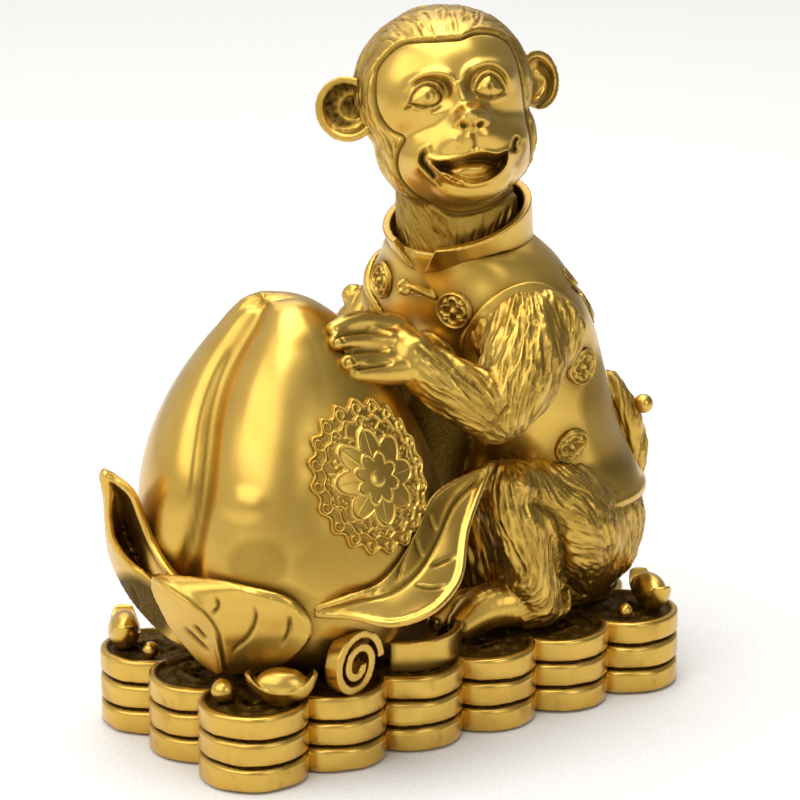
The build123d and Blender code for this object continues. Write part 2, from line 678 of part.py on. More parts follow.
def head_form():
    """Skull, jaw, muzzle, brow and nose, on a neck."""
    head = None
    for spot, radii in HEAD_FORM_SHARES:
        x, y, z = spot
        a, b, c = radii
        size = (a * HEAD_HALF_WIDTH, b * HEAD_HALF_WIDTH, c * HEAD_HALF_HEIGHT)
        place = Pos(x * HEAD_HALF_WIDTH, y * HEAD_HALF_WIDTH, z * HEAD_HALF_HEIGHT)
        lump = place * ellipsoid(size)
        head = lump if head is None else head + lump
    head = head_location() * head
    foot = Vector(neck_x, BODY_SETBACK, neck_z)
    return head + Pos(foot) * upright(NECK_RADIUS, NECK_LENGTH)


def make_head():
    """Hollow head with a spigot that drops into the vest."""
    cavity = [share * HEAD_HALF_WIDTH for share in HEAD_CAVITY_SHARES]
    spigot = upright(NECK_SPIGOT_RADIUS, NECK_SPIGOT_LENGTH)
    head = head_form() - head_location() * ellipsoid(cavity)
    return head + Pos(neck_x, BODY_SETBACK, neck_z - NECK_SPIGOT_LENGTH) * spigot


def make_ear(side, head):
    """Round ear, a shallow bowl that opens forwards."""
    rim = EAR_RADIUS
    profile = make_face([
        ThreePointArc((0, EAR_DEPTH), (rim * EAR_BEND_SHARE, EAR_DEPTH * EAR_BEND_SHARE), (rim, 0)),
        Line((rim, 0), (rim - EAR_WALL, 0)),
        ThreePointArc(
            (rim - EAR_WALL, 0),
            ((rim - EAR_WALL) * EAR_BEND_SHARE, (EAR_DEPTH - EAR_WALL) * EAR_BEND_SHARE),
            (0, EAR_DEPTH - EAR_WALL),
        ),
        Line((0, EAR_DEPTH - EAR_WALL), (0, EAR_DEPTH)),
    ])
    bowl = revolve(profile, axis=Axis.Y)
    x, y, z = EAR_SPOT_SHARES
    place = Pos(side * x * HEAD_HALF_WIDTH, y * HEAD_HALF_WIDTH, z * HEAD_HALF_HEIGHT)
    seam_out = Rot(Y=90 - 90 * side)
    return head_location() * place * Rot(Z=side * EAR_SPLAY) * seam_out * bowl - head


def make_collar(vest, head):
    """Stand collar, open at the front of the chest."""
    outer = Cone(COLLAR_RADIUS, COLLAR_RADIUS + COLLAR_FLARE, COLLAR_HEIGHT)
    inner = Cone(COLLAR_RADIUS - COLLAR_WALL, COLLAR_RADIUS + COLLAR_FLARE - COLLAR_WALL, COLLAR_HEIGHT)
    notch = Polygon(
        (0, COLLAR_HEIGHT / 2 - COLLAR_HEIGHT * COLLAR_NOTCH_SHARE),
        (COLLAR_NOTCH_HALF_WIDTH, COLLAR_HEIGHT),
        (-COLLAR_NOTCH_HALF_WIDTH, COLLAR_HEIGHT),
        align=None,
    )
    wedge = Rot(X=90) * extrude(notch, amount=COLLAR_RADIUS * 2)
    ring = outer - inner - wedge
    middle_z = neck_z - COLLAR_DROP + COLLAR_HEIGHT / 2
    place = Pos(neck_x, BODY_SETBACK, middle_z) * Rot(Z=CHEST_YAW) * Rot(X=COLLAR_TILT)
    return place * ring - vest - head


def make_roundels(vest, neighbours):
    """Round patches on the vest, clear of the pieces that cover it."""
    skin = vest_form(ROUNDEL_RELIEF) - vest
    patches = []
    for turn, height in zip(ROUNDEL_TURNS, ROUNDEL_HEIGHT_SHARES):
        spot, facing = vest_spot(turn, height)
        plane = Plane(origin=spot - facing * ROUNDEL_RADIUS, z_dir=facing)
        patch = skin & extrude(plane * Circle(ROUNDEL_RADIUS), amount=ROUNDEL_RADIUS * 2)
        for neighbour in neighbours:
            patch -= neighbour
        patches.append(patch)
    return Compound(patches)


def make_frog(vest, roundels):
    """Corded toggle that closes the front of the vest."""
    stations = []
    for turn in FROG_TURNS:
        spot, facing = vest_spot(turn, FROG_HEIGHT_SHARE)
        stations.append((spot, FROG_RADIUS))
    return limb(stations) - vest - roundels


def stack_spot(column, row, shares):
    """Place on top of a stack, in shares of a coin from its middle."""
    x, y = shares
    return Vector(
        column * COIN_PITCH - half_row + x * COIN_RADIUS,
        row * COIN_PITCH - half_column + y * COIN_RADIUS,
        deck_z,
    )


def make_ingot(spot, yaw, base):
    """Boat shaped ingot with a dome in the middle."""
    hull = ellipsoid((INGOT_LENGTH / 2, INGOT_WIDTH / 2, INGOT_HEIGHT)) & below(0)
    saddle = Rot(X=90) * Cylinder(INGOT_SADDLE_RADIUS, INGOT_WIDTH * 2)
    hull -= Pos(0, 0, INGOT_SADDLE_RADIUS - INGOT_HEIGHT / 2) * saddle
    a, b, c = INGOT_DOME_SHARES
    dome = ellipsoid((a * INGOT_LENGTH, b * INGOT_WIDTH, c * INGOT_HEIGHT))
    boat = hull + Pos(0, 0, -INGOT_HEIGHT / 2) * dome
    lift = Vector(0, 0, INGOT_HEIGHT - INGOT_HEIGHT * INGOT_SINK_SHARE)
    return Pos(spot + lift) * Rot(Z=yaw) * boat - base


def make_pearls(base):
    """Round pearls that lie on the coins."""
    pearls = []
    for radius, stack, shares in zip(PEARL_RADII, PEARL_STACKS, PEARL_SPOT_SHARES):
        spot = stack_spot(stack[0], stack[1], shares)
        pearls.append(Pos(spot + Vector(0, 0, radius - COIN_RIM_DEPTH)) * Sphere(radius) - base)
    return Compound(pearls)


def make_scroll(base, peach, leaf):
    """Curled tendril that stands on its edge, wound from half circles."""
    curve = None
    start_x = SCROLL_RADIUS
    heading = -1
    for share in SCROLL_TURN_SHARES:
        radius = SCROLL_RADIUS * share
        end_x = start_x + 2 * radius * heading
        arc = ThreePointArc((start_x, 0), ((start_x + end_x) / 2, -radius * heading), (end_x, 0))
        curve = Curve() + arc if curve is None else curve + arc
        start_x = end_x
        heading = -heading
    strip = trace(curve, line_width=SCROLL_BAND)
    solid = Rot(X=90) * extrude(strip, amount=SCROLL_DEPTH / 2, both=True)
    drop = SCROLL_RADIUS * SCROLL_TURN_SHARES[1] + SCROLL_BAND / 2
    spot = stack_spot(1, 0, SCROLL_SPOT_SHARES) + Vector(0, 0, drop)
    return Pos(spot) * Rot(Z=SCROLL_YAW) * solid - base - peach - leaf


def make_ribbon(base, peach):
    """Curved ribbon that stands on the coins in front of the peach."""
    end_x = RIBBON_RADIUS * sin(radians(RIBBON_HALF_ANGLE))
    end_y = -RIBBON_RADIUS * cos(radians(RIBBON_HALF_ANGLE))
    arc = ThreePointArc((-end_x, end_y), (0, -RIBBON_RADIUS), (end_x, end_y))
    strip = trace(arc, line_width=RIBBON_THICKNESS)
    solid = extrude(strip, amount=RIBBON_HEIGHT + COIN_RIM_DEPTH)
    spot = stack_spot(2, 0, RIBBON_SPOT_SHARES) - Vector(0, 0, COIN_RIM_DEPTH)
    return Pos(spot) * Rot(Z=RIBBON_YAW) * solid - base - peach


nodes = {}
peach_solid = peach_form(0)
vest_solid = vest_form(0)
seat_solid = seat_form(0)
head_solid = head_form()
left_leg_form = leg_form()
right_leg_form = mirror(left_leg_form, about=Plane.XZ.offset(-BODY_SETBACK))

base = make_coin_base()
nodes["coin_base"] = base
nodes["base_plate"] = make_base_plate()
nodes["base_screws"] = make_base_screws()
nodes["felt_sheet"] = make_felt()
nodes["peach_bolt"] = make_bolts(bolt_places()[:1])
nodes["trunk_bolts"] = make_bolts(bolt_places()[1:])
nodes["peach"] = make_peach()
leaf_front = cupped_leaf(LEAF_FRONT_HALF_WIDTH, LEAF_FRONT_TWIST, LEAF_FRONT_SHARES) - peach_solid
leaf_left = cupped_leaf(LEAF_LEFT_HALF_WIDTH, LEAF_LEFT_TWIST, LEAF_LEFT_SHARES) - peach_solid
leaf_right = flared_leaf(LEAF_RIGHT_HALF_WIDTH, LEAF_RIGHT_SHARES) - peach_solid
nodes["leaf_front"] = leaf_front
nodes["leaf_left"] = leaf_left - leaf_front
nodes["leaf_right"] = leaf_right - leaf_front - left_leg_form
nodes["vest"] = make_vest()
nodes["trunk_seat"] = make_seat()
nodes["vest_collar"] = make_collar(vest_solid, head_solid)
nodes["head"] = make_head()
nodes["left_ear"] = make_ear(1, head_solid)
nodes["right_ear"] = make_ear(-1, head_solid)
left_turn, right_turn = ARMHOLE_TURNS
left_bones = (LEFT_UPPER_ARM_SHARES, LEFT_FOREARM_SHARES, LEFT_PALM_SHARES)
left_roots = tuple(zip(LEFT_FINGER_ROOT_YAWS, LEFT_FINGER_ROOT_SHARES))
left_tips = tuple(zip(LEFT_FINGER_TIP_YAWS, LEFT_FINGER_TIP_SHARES))
nodes["left_arm"] = make_arm(left_turn, left_bones, left_roots, left_tips, vest_solid, peach_solid)
right_bones = (RIGHT_UPPER_ARM_SHARES, RIGHT_FOREARM_SHARES, RIGHT_PALM_SHARES)
right_roots = tuple(zip(RIGHT_FINGER_ROOT_YAWS, RIGHT_FINGER_ROOT_SHARES))
right_tips = tuple(zip(RIGHT_FINGER_TIP_YAWS, RIGHT_FINGER_TIP_SHARES))
nodes["right_arm"] = make_arm(right_turn, right_bones, right_roots, right_tips, vest_solid, peach_solid)
nodes["peach_medallion"] = make_medallion() - nodes["left_arm"]
nodes["armhole_left"] = make_armhole(left_turn, vest_solid, nodes["left_arm"])
nodes["armhole_right"] = make_armhole(right_turn, vest_solid, nodes["right_arm"])
nodes["arm_dowels"] = Compound([dowel(turn, 0) for turn in ARMHOLE_TURNS])
nodes["left_leg"] = make_leg(left_leg_form, vest_solid, seat_solid)
nodes["right_leg"] = make_leg(right_leg_form, vest_solid, seat_solid)
nodes["tail"] = make_tail(vest_solid, seat_solid)
bead_spot = body_spot + Vector(*TAIL_BEAD_SHARES) * TAIL_REACH
nodes["tail_bead"] = Pos(bead_spot) * Sphere(TAIL_BEAD_RADIUS) - nodes["tail"] - vest_solid
covers = [nodes["left_arm"], nodes["right_arm"], nodes["armhole_left"], nodes["armhole_right"]]
covers += [nodes["left_leg"], nodes["right_leg"], nodes["tail"], nodes["vest_collar"]]
nodes["vest_roundels"] = make_roundels(vest_solid, covers)
nodes["vest_frog"] = make_frog(vest_solid, nodes["vest_roundels"])
front_spot = stack_spot(0, 0, INGOT_FRONT_SHARES)
left_spot = stack_spot(0, COINS_DEEP - 1, INGOT_LEFT_SHARES)
right_spot = stack_spot(COINS_LONG - 1, 0, INGOT_RIGHT_SHARES)
nodes["ingot_front"] = make_ingot(front_spot, INGOT_FRONT_YAW, base)
nodes["ingot_left"] = make_ingot(left_spot, INGOT_LEFT_YAW, base)
nodes["ingot_right"] = make_ingot(right_spot, INGOT_RIGHT_YAW, base)
nodes["pearls"] = make_pearls(base)
nodes["scroll"] = make_scroll(base, peach_solid, nodes["leaf_right"])
nodes["ribbon"] = make_ribbon(base, peach_solid)

os.makedirs("parts", exist_ok=True)
for name, shape in nodes.items():
    shape.label = name
    export_step(shape, f"parts/{name}.step")
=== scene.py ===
import math

import bmesh
import bpy
import numpy as np
from bpy.props import FloatProperty, FloatVectorProperty, IntProperty, PointerProperty
from mathutils import Matrix, Vector
from mathutils.kdtree import KDTree


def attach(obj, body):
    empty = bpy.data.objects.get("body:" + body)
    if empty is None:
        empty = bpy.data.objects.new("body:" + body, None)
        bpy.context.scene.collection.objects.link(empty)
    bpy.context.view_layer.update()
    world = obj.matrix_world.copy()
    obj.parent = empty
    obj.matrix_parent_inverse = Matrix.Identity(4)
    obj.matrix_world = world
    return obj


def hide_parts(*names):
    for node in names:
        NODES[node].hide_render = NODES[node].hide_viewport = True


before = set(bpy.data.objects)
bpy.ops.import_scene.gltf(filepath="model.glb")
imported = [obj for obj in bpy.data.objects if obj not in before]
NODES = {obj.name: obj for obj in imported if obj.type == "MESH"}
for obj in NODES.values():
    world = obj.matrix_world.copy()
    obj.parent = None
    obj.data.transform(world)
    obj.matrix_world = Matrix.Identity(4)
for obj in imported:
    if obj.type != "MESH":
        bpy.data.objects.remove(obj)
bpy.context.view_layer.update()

bl_info = {
    "name": "Brass monkey with a peach",
    "version": (1, 0, 0),
    "blender": (4, 5, 0),
    "location": "3D View > Sidebar > Ornament",
    "description": "Models the cast brass monkey that hugs a peach on a base of coins",
    "category": "Object",
}

MM = 0.001

# Camera of the photograph: turn and rise in degrees, distances in millimetres, focal length in pixels
CAMERA_TURN = -35.18
CAMERA_RISE = 16.369
CAMERA_DISTANCE = 788.177
CAMERA_TARGET = np.array((-29.429, -44.456, 90.0))
FOCAL_PIXELS = 3600.0
PICTURE_PIXELS = 800
SENSOR_MM = 36.0
turn = math.radians(CAMERA_TURN)
rise = math.radians(CAMERA_RISE)
BACK = np.array((math.sin(turn) * math.cos(rise), -math.cos(turn) * math.cos(rise), math.sin(rise)))
ACROSS = np.array((math.cos(turn), math.sin(turn), 0.0))
UPWARD = np.cross(BACK, ACROSS)
EYE = CAMERA_TARGET + BACK * CAMERA_DISTANCE
# Pixels of the photograph in a millimetre at the figure
PIXELS_PER_MM = 4.24
# Reach of a guide of the hair, in square pixels
GUIDE_REACH = 60.0
BALL_RINGS = 24


def picture(points):
    """Where points fall in the photograph, in pixels, and how far they are from the camera."""
    away = points - EYE
    depth = -(away @ BACK)
    middle = PICTURE_PIXELS / 2
    u = middle + FOCAL_PIXELS * (away @ ACROSS) / depth
    v = middle - FOCAL_PIXELS * (away @ UPWARD) / depth
    return np.stack((u, v), 1), depth


def spot_at(u, v, depth):
    """Point that falls on a pixel of the photograph at a distance from the camera."""
    middle = PICTURE_PIXELS / 2
    return EYE + depth * (ACROSS * (u - middle) / FOCAL_PIXELS - UPWARD * (v - middle) / FOCAL_PIXELS - BACK)


def linear(hex_colour):
    """Linear colour of an sRGB hex value."""
    parts = [int(hex_colour[i:i + 2], 16) / 255 for i in (1, 3, 5)]
    return tuple(p / 12.92 if p <= 0.04045 else ((p + 0.055) / 1.055) ** 2.4 for p in parts)


def smooth_table(at, places, values):
    """Smooth curve through a table of values."""
    places = np.asarray(places, float)
    values = np.asarray(values, float)
    slopes = np.gradient(values, places)
    i = np.clip(np.searchsorted(places, at) - 1, 0, len(places) - 2)
    span = places[i + 1] - places[i]
    t = (at - places[i]) / span
    a = (1 + 2 * t) * (1 - t) ** 2 * values[i] + t * (1 - t) ** 2 * span * slopes[i]
    b = t * t * (3 - 2 * t) * values[i + 1] + t * t * (t - 1) * span * slopes[i + 1]
    return a + b


def smooth_path(points, count):
    """Evenly drawn curve through a few points."""
    points = np.asarray(points, float)
    steps = np.linalg.norm(np.diff(points, axis=0), axis=1)
    along = np.concatenate(([0.0], np.cumsum(steps)))
    at = np.linspace(0, along[-1], count)
    return np.stack([smooth_table(at, along, points[:, k]) for k in range(points.shape[1])], 1)


def path_distance(spots, path):
    """Distance of each spot from a path, and how far along the path its nearest point is, from 0 to 1."""
    best = np.full(len(spots), 1e9)
    along = np.zeros(len(spots))
    last = len(path) - 1
    for i in range(last):
        run = path[i + 1] - path[i]
        share = np.clip((spots - path[i]) @ run / max(run @ run, 1e-12), 0, 1)
        gap = np.linalg.norm(spots - path[i] - share[:, None] * run, axis=1)
        near = gap < best
        best[near] = gap[near]
        along[near] = (i + share[near]) / last
    return best, along


def inside_path(spots, path):
    """True for the spots that lie inside a closed path."""
    hit = np.zeros(len(spots), bool)
    for a, b in zip(path, np.roll(path, -1, axis=0)):
        crosses = (a[1] > spots[:, 1]) != (b[1] > spots[:, 1])
        rise_y = b[1] - a[1] if b[1] != a[1] else 1e-12
        x = a[0] + (spots[:, 1] - a[1]) / rise_y * (b[0] - a[0])
        hit ^= crosses & (spots[:, 0] < x)
    return hit


def noise(points, seed):
    """Smooth noise between -1 and 1 whose cells are one unit wide."""
    cell = np.floor(points).astype(np.int64)
    part = points - cell
    fade = part * part * (3 - 2 * part)
    total = np.zeros(len(points))
    for corner in range(8):
        offset = np.array((corner & 1, corner >> 1 & 1, corner >> 2 & 1))
        key = (cell + offset) @ np.array((73856093, 19349663, 83492791)) + seed * 7919
        key = ((key ^ key >> 13) * 1274126177) & 0xFFFFFFFF
        key = ((key ^ key >> 15) * 2246822519) & 0xFFFFFFFF
        weight = np.prod(np.where(offset, fade, 1 - fade), axis=1)
        total += weight * ((key ^ key >> 16 & 0xFFFF) % 65536 / 32768 - 1)
    return total


def lie_of_hair(spots, guides):
    """Way the hair runs at each spot, blended from guides of (pixel, way in the picture)."""
    pixels = picture(spots)[0]
    table = np.array([(*place, *way) for place, way in guides], float)
    ways = table[:, 2:] / np.linalg.norm(table[:, 2:], axis=1)[:, None]
    gaps = ((pixels[:, None, :] - table[None, :, :2]) ** 2).sum(2)
    course = (1 / (gaps + GUIDE_REACH) ** 1.5) @ ways
    return course[:, :1] * ACROSS - course[:, 1:] * UPWARD


def along_skin(course, normals):
    """Ways laid on the surface, one unit long."""
    course = course - normals * (course * normals).sum(1)[:, None]
    return course / (np.linalg.norm(course, axis=1)[:, None] + 1e-9)


def strands(spots, course, width, length, seed):
    """Noise drawn out along the lie of the hair, with a spread of one."""
    step = width * 0.6
    total = noise(spots / width, seed)
    for k in range(1, int(length / step / 2) + 1):
        total += noise((spots + course * (k * step)) / width, seed)
        total += noise((spots - course * (k * step)) / width, seed)
    return total / total.std()


def point_tree(spots):
    """Tree that finds the spots near a place."""
    tree = KDTree(len(spots))
    for i, spot in enumerate(spots):
        tree.insert(spot, i)
    tree.balance()
    return tree


class Clay:
    """Surface of one piece while it is modelled, in millimetres."""

    # Heights of the locks and of the strands in them, as shares of the depth of the hair
    lock_share = 0.34
    strand_share = 0.16

    def __init__(self, bm, voxel=None, rounds=0):
        self.mesh = bpy.data.meshes.new("clay")
        bm.to_mesh(self.mesh)
        bm.free()
        if voxel:
            self.fuse(voxel)
        self.read()
        self.relax(rounds)

    def fuse(self, voxel):
        """Joins overlapping lumps into one skin of even squares."""
        holder = bpy.data.objects.new("clay", self.mesh)
        bpy.context.collection.objects.link(holder)
        skin = holder.modifiers.new("Skin", "REMESH")
        skin.mode = "VOXEL"
        skin.voxel_size = voxel
        graph = bpy.context.evaluated_depsgraph_get()
        fused = bpy.data.meshes.new_from_object(holder.evaluated_get(graph))
        bpy.data.objects.remove(holder)
        bpy.data.meshes.remove(self.mesh)
        self.mesh = fused

    def read(self):
        """Reads the places of the vertices and which of them are joined."""
        count = len(self.mesh.vertices)
        flat = np.empty(count * 3, np.float32)
        self.mesh.vertices.foreach_get("co", flat)
        self.spots = flat.reshape(-1, 3).astype(float)
        pairs = np.empty(len(self.mesh.edges) * 2, np.int32)
        self.mesh.edges.foreach_get("vertices", pairs)
        self.pairs = pairs.reshape(-1, 2)
        self.links = np.maximum(np.bincount(pairs, minlength=count), 1)
        self.dark = np.zeros(count)

    def mean(self, values):
        """Mean of the neighbours of each vertex."""
        a, b = self.pairs.T
        count = len(values)
        sums = [np.bincount(a, c[b], count) + np.bincount(b, c[a], count) for c in values.T]
        return np.stack(sums, 1) / self.links[:, None]

    def relax(self, rounds, where=None):
        """Smooths the surface without shrinking it."""
        share = 1.0 if where is None else where[:, None]
        for step in range(rounds):
            for pull in (0.6, -0.62):
                self.spots += share * pull * (self.mean(self.spots) - self.spots)

    def pixels(self):
        return picture(self.spots)[0]

    def normals(self):
        self.mesh.vertices.foreach_set("co", self.spots.astype(np.float32).ravel())
        self.mesh.update()
        flat = np.empty(len(self.spots) * 3, np.float32)
        self.mesh.vertices.foreach_get("normal", flat)
        return flat.reshape(-1, 3).astype(float)

    def push(self, heights, ways=None):
        """Moves the surface out by heights, along its normals or along given ways."""
        ways = self.normals() if ways is None else ways
        self.spots += ways * np.asarray(heights)[:, None]

    def carve(self, pixels, width, height, dark=0.0, taper=0.0, straight=False):
        """Draws a ridge or groove along a curve of pixels on the side that faces the camera."""
        normals = self.normals()
        spots = self.pixels()
        path = smooth_path(pixels, 6 * len(pixels))
        reach = width * PIXELS_PER_MM
        low = path.min(0) - 2.5 * reach
        high = path.max(0) + 2.5 * reach
        near = np.flatnonzero(((spots > low) & (spots < high)).all(1) & (normals @ BACK > 0))
        gap, along = path_distance(spots[near], path)
        shade = np.exp(-(gap / reach) ** 2) * np.clip((normals[near] @ BACK) * 4, 0, 1)
        if taper:
            shade *= np.clip(np.minimum(along, 1 - along) / taper, 0, 1)
        ways = BACK if straight else normals[near]
        self.spots[near] += ways * (shade * height)[:, None]
        self.dark[near] = np.maximum(self.dark[near], shade * dark)

    def dab(self, pixel, half_width, half_height, height, tilt=0, power=1.5, dark=0.0):
        """Raises or sinks an oval patch round a pixel, towards the camera."""
        normals = self.normals()
        spots = self.pixels()
        away = spots - np.array(pixel)
        c = math.cos(math.radians(tilt))
        s = math.sin(math.radians(tilt))
        x = (away[:, 0] * c + away[:, 1] * s) / half_width
        y = (away[:, 1] * c - away[:, 0] * s) / half_height
        shade = np.clip(1 - x * x - y * y, 0, 1) ** power * np.clip((normals @ BACK) * 4, 0, 1)
        self.spots += BACK * (shade * height)[:, None]
        self.dark = np.maximum(self.dark, np.clip(shade * 2, 0, 1) * dark)

    def tone(self, pixel, half_width, half_height, tilt, strength):
        """Darkens an oval patch round a pixel, as painted shade."""
        self.dab(pixel, half_width, half_height, 0, tilt, 1.0, strength)

    def swell(self, pixel, half_width, half_height, way, height):
        """Moves the outline near a pixel along a way in the picture."""
        course = (way[0] * ACROSS - way[1] * UPWARD) / math.hypot(*way)
        facing = np.clip(self.normals() @ course, 0, 1)
        away = (self.pixels() - np.array(pixel)) / (half_width, half_height)
        share = np.clip(1 - (away ** 2).sum(1), 0, 1)
        self.spots += course * (facing * share * height)[:, None]

    def soften(self, rounds):
        """Melts lumps into each other."""
        for step in range(rounds):
            self.spots += 0.5 * (self.mean(self.spots) - self.spots)

    def fur(self, guides, hair, cuts, where, seed):
        """Models hair: soft locks first, then chased grooves that run along the lie of the hair."""
        width, length, depth = hair
        normals = self.normals()
        share = np.ones(len(self.spots)) if where is None else where
        course = along_skin(lie_of_hair(self.spots, guides), normals)
        locks = strands(self.spots, course, width * 1.5, length, seed)
        fine = strands(self.spots, course, width * 0.7, length, seed + 5)
        relief = self.lock_share * np.clip(locks, -1.6, 1.6) + self.strand_share * np.clip(fine, -1.6, 1.6)
        self.spots += normals * (relief * depth * share)[:, None]
        self.dark = np.maximum(self.dark, np.clip(-relief - 0.15, 0, 1) * 0.6 * share)
        self.chase(guides, cuts, length, width * 0.26, depth, share, seed)

    def chase(self, guides, count, length, width, depth, share, seed):
        """Cuts short tapered grooves along the lie of the hair."""
        normals = self.normals()
        tree = point_tree(self.spots)
        dice = np.random.default_rng(seed)
        near = dice.choice(len(self.spots), count, p=share / share.sum())
        steps = int(length / width / 1.1)
        stride = width * 1.1 * dice.uniform(0.5, 1.3, count)[:, None]
        strength = dice.uniform(0.5, 1.0, count)
        places = self.spots[near]
        cut = np.zeros(len(self.spots))
        for k in range(steps):
            facing = normals[near]
            places = places + along_skin(lie_of_hair(places, guides), facing) * stride
            near = [tree.find(place)[1] for place in places]
            facing = normals[near]
            places -= facing * ((places - self.spots[near]) * facing).sum(1)[:, None]
            taper = math.sin(math.pi * (k + 1) / (steps + 1)) ** 0.6
            for place, power in zip(places, strength * taper):
                for spot, j, gap in tree.find_range(place, 2.2 * width):
                    cut[j] = max(cut[j], power * math.exp(-(gap / width) ** 2))
        cut *= share
        self.spots -= normals * (cut * depth)[:, None]
        self.dark = np.maximum(self.dark, cut ** 1.5 * 0.9)

    def patina(self, reach, strength, rounds):
        """Darkens the hollows of the surface."""
        blurred = self.spots
        for step in range(rounds):
            blurred = self.mean(blurred)
        hollow = ((blurred - self.spots) * self.normals()).sum(1) / reach
        self.dark = np.maximum(self.dark, np.clip(hollow, 0, 1) * strength)

    def islands(self):
        """Number of the separate lump that each vertex belongs to."""
        island = np.arange(len(self.spots))
        a, b = self.pairs.T
        while True:
            low = np.minimum(island[a], island[b])
            before = island.copy()
            np.minimum.at(island, a, low)
            np.minimum.at(island, b, low)
            island = island[island]
            if (island == before).all():
                return island

    def finish(self, name, node):
        """Makes the brass piece that stands for a CAD node."""
        self.mesh.vertices.foreach_set("co", (self.spots * MM).astype(np.float32).ravel())
        # the patina layer holds the patina of the hollows and also painted shade in darkened patches, on the
        # neck and where pieces meet
        layer = self.mesh.attributes.new("patina", "FLOAT", "POINT")
        layer.data.foreach_set("value", np.clip(self.dark, 0, 1).astype(np.float32))
        self.mesh.shade_smooth()
        self.mesh.update()
        self.mesh.materials.clear()
        self.mesh.materials.append(bpy.data.materials["antique_brass"])
        piece = bpy.data.objects.new(name, self.mesh)
        self.mesh.name = name
        bpy.context.collection.objects.link(piece)
        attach(piece, "root")
        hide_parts(node)
        return piece


def from_node(name):
    """Merged copy of a CAD node, in millimetres."""
    bm = bmesh.new()
    bm.from_mesh(NODES[name].data)
    bmesh.ops.remove_doubles(bm, verts=bm.verts, dist=1e-7)
    bmesh.ops.scale(bm, vec=(1 / MM, 1 / MM, 1 / MM), verts=bm.verts)
    return bm


def add_ball(bm, place, radii, turned=None):
    """Adds an oval ball to a bmesh."""
    matrix = Matrix.Translation(place)
    if turned is not None:
        matrix = matrix @ turned.to_4x4()
    matrix = matrix @ Matrix.Diagonal((*radii, 1))
    bmesh.ops.create_uvsphere(
        bm, u_segments=2 * BALL_RINGS, v_segments=BALL_RINGS, radius=1, matrix=matrix)


def add_limb(bm, stations, spacing=0.3, rounds=3):
    """Adds a round limb, drawn as close balls along stations of (place, radius)."""
    table = np.array([(*place, radius) for place, radius in stations], float)
    length = np.linalg.norm(np.diff(table[:, :3], axis=0), axis=1).sum()
    count = max(3, int(length / (table[:, 3].min() * spacing)))
    for x, y, z, r in smooth_path(table, count):
        bmesh.ops.create_icosphere(bm, subdivisions=rounds, radius=r, matrix=Matrix.Translation((x, y, z)))


def add_chain(bm, chain):
    """Adds a limb drawn as pixels with distances from the camera and radii in millimetres."""
    add_limb(bm, [(spot_at(u, v, depth), radius) for u, v, depth, radius in chain])


def add_node(tree, kind, links=None, **settings):
    """Adds a shader node with its settings and the links into its sockets."""
    node = tree.nodes.new(kind)
    for key, value in settings.items():
        setattr(node, key, value)
    for key, value in (links or {}).items():
        socket = node.inputs[key]
        if isinstance(value, bpy.types.NodeSocket):
            tree.links.new(value, socket)
        else:
            socket.default_value = value
    return node


# Peach: foot, width, height and lean in millimetres, then its outline from foot to tip
PEACH_FOOT = np.array((-28.6, 0.5, 18.4))
PEACH_RADIUS = 36.0
PEACH_HEIGHT = 86.0
PEACH_LEAN = 6.5
PEACH_RISES = (0.0, 0.03, 0.06, 0.14, 0.22, 0.30, 0.41, 0.55, 0.69, 0.80, 0.88, 0.94, 0.975, 1.0)
PEACH_REACHES = (0.46, 0.60, 0.70, 0.86, 0.955, 1.0, 0.985, 0.90, 0.74, 0.575, 0.43, 0.29, 0.165, 0.0)
PEACH_LEANS = (0.0, 0.0, 0.0, 0.0, 0.0, 0.0, 0.0, 0.0, 0.0, 0.0, 0.06, 0.25, 0.55, 1.0)


def peach_skin(yaw, share):
    """Point of the peach at a yaw, in radians from the front, and a share of its height."""
    reach = PEACH_RADIUS * smooth_table(share, PEACH_RISES, PEACH_REACHES)
    lean = PEACH_LEAN * smooth_table(share, PEACH_RISES, PEACH_LEANS)
    x = PEACH_FOOT[0] - lean + reach * np.sin(yaw)
    y = PEACH_FOOT[1] - reach * np.cos(yaw)
    return np.stack((x, y, PEACH_FOOT[2] + PEACH_HEIGHT * share), 1)


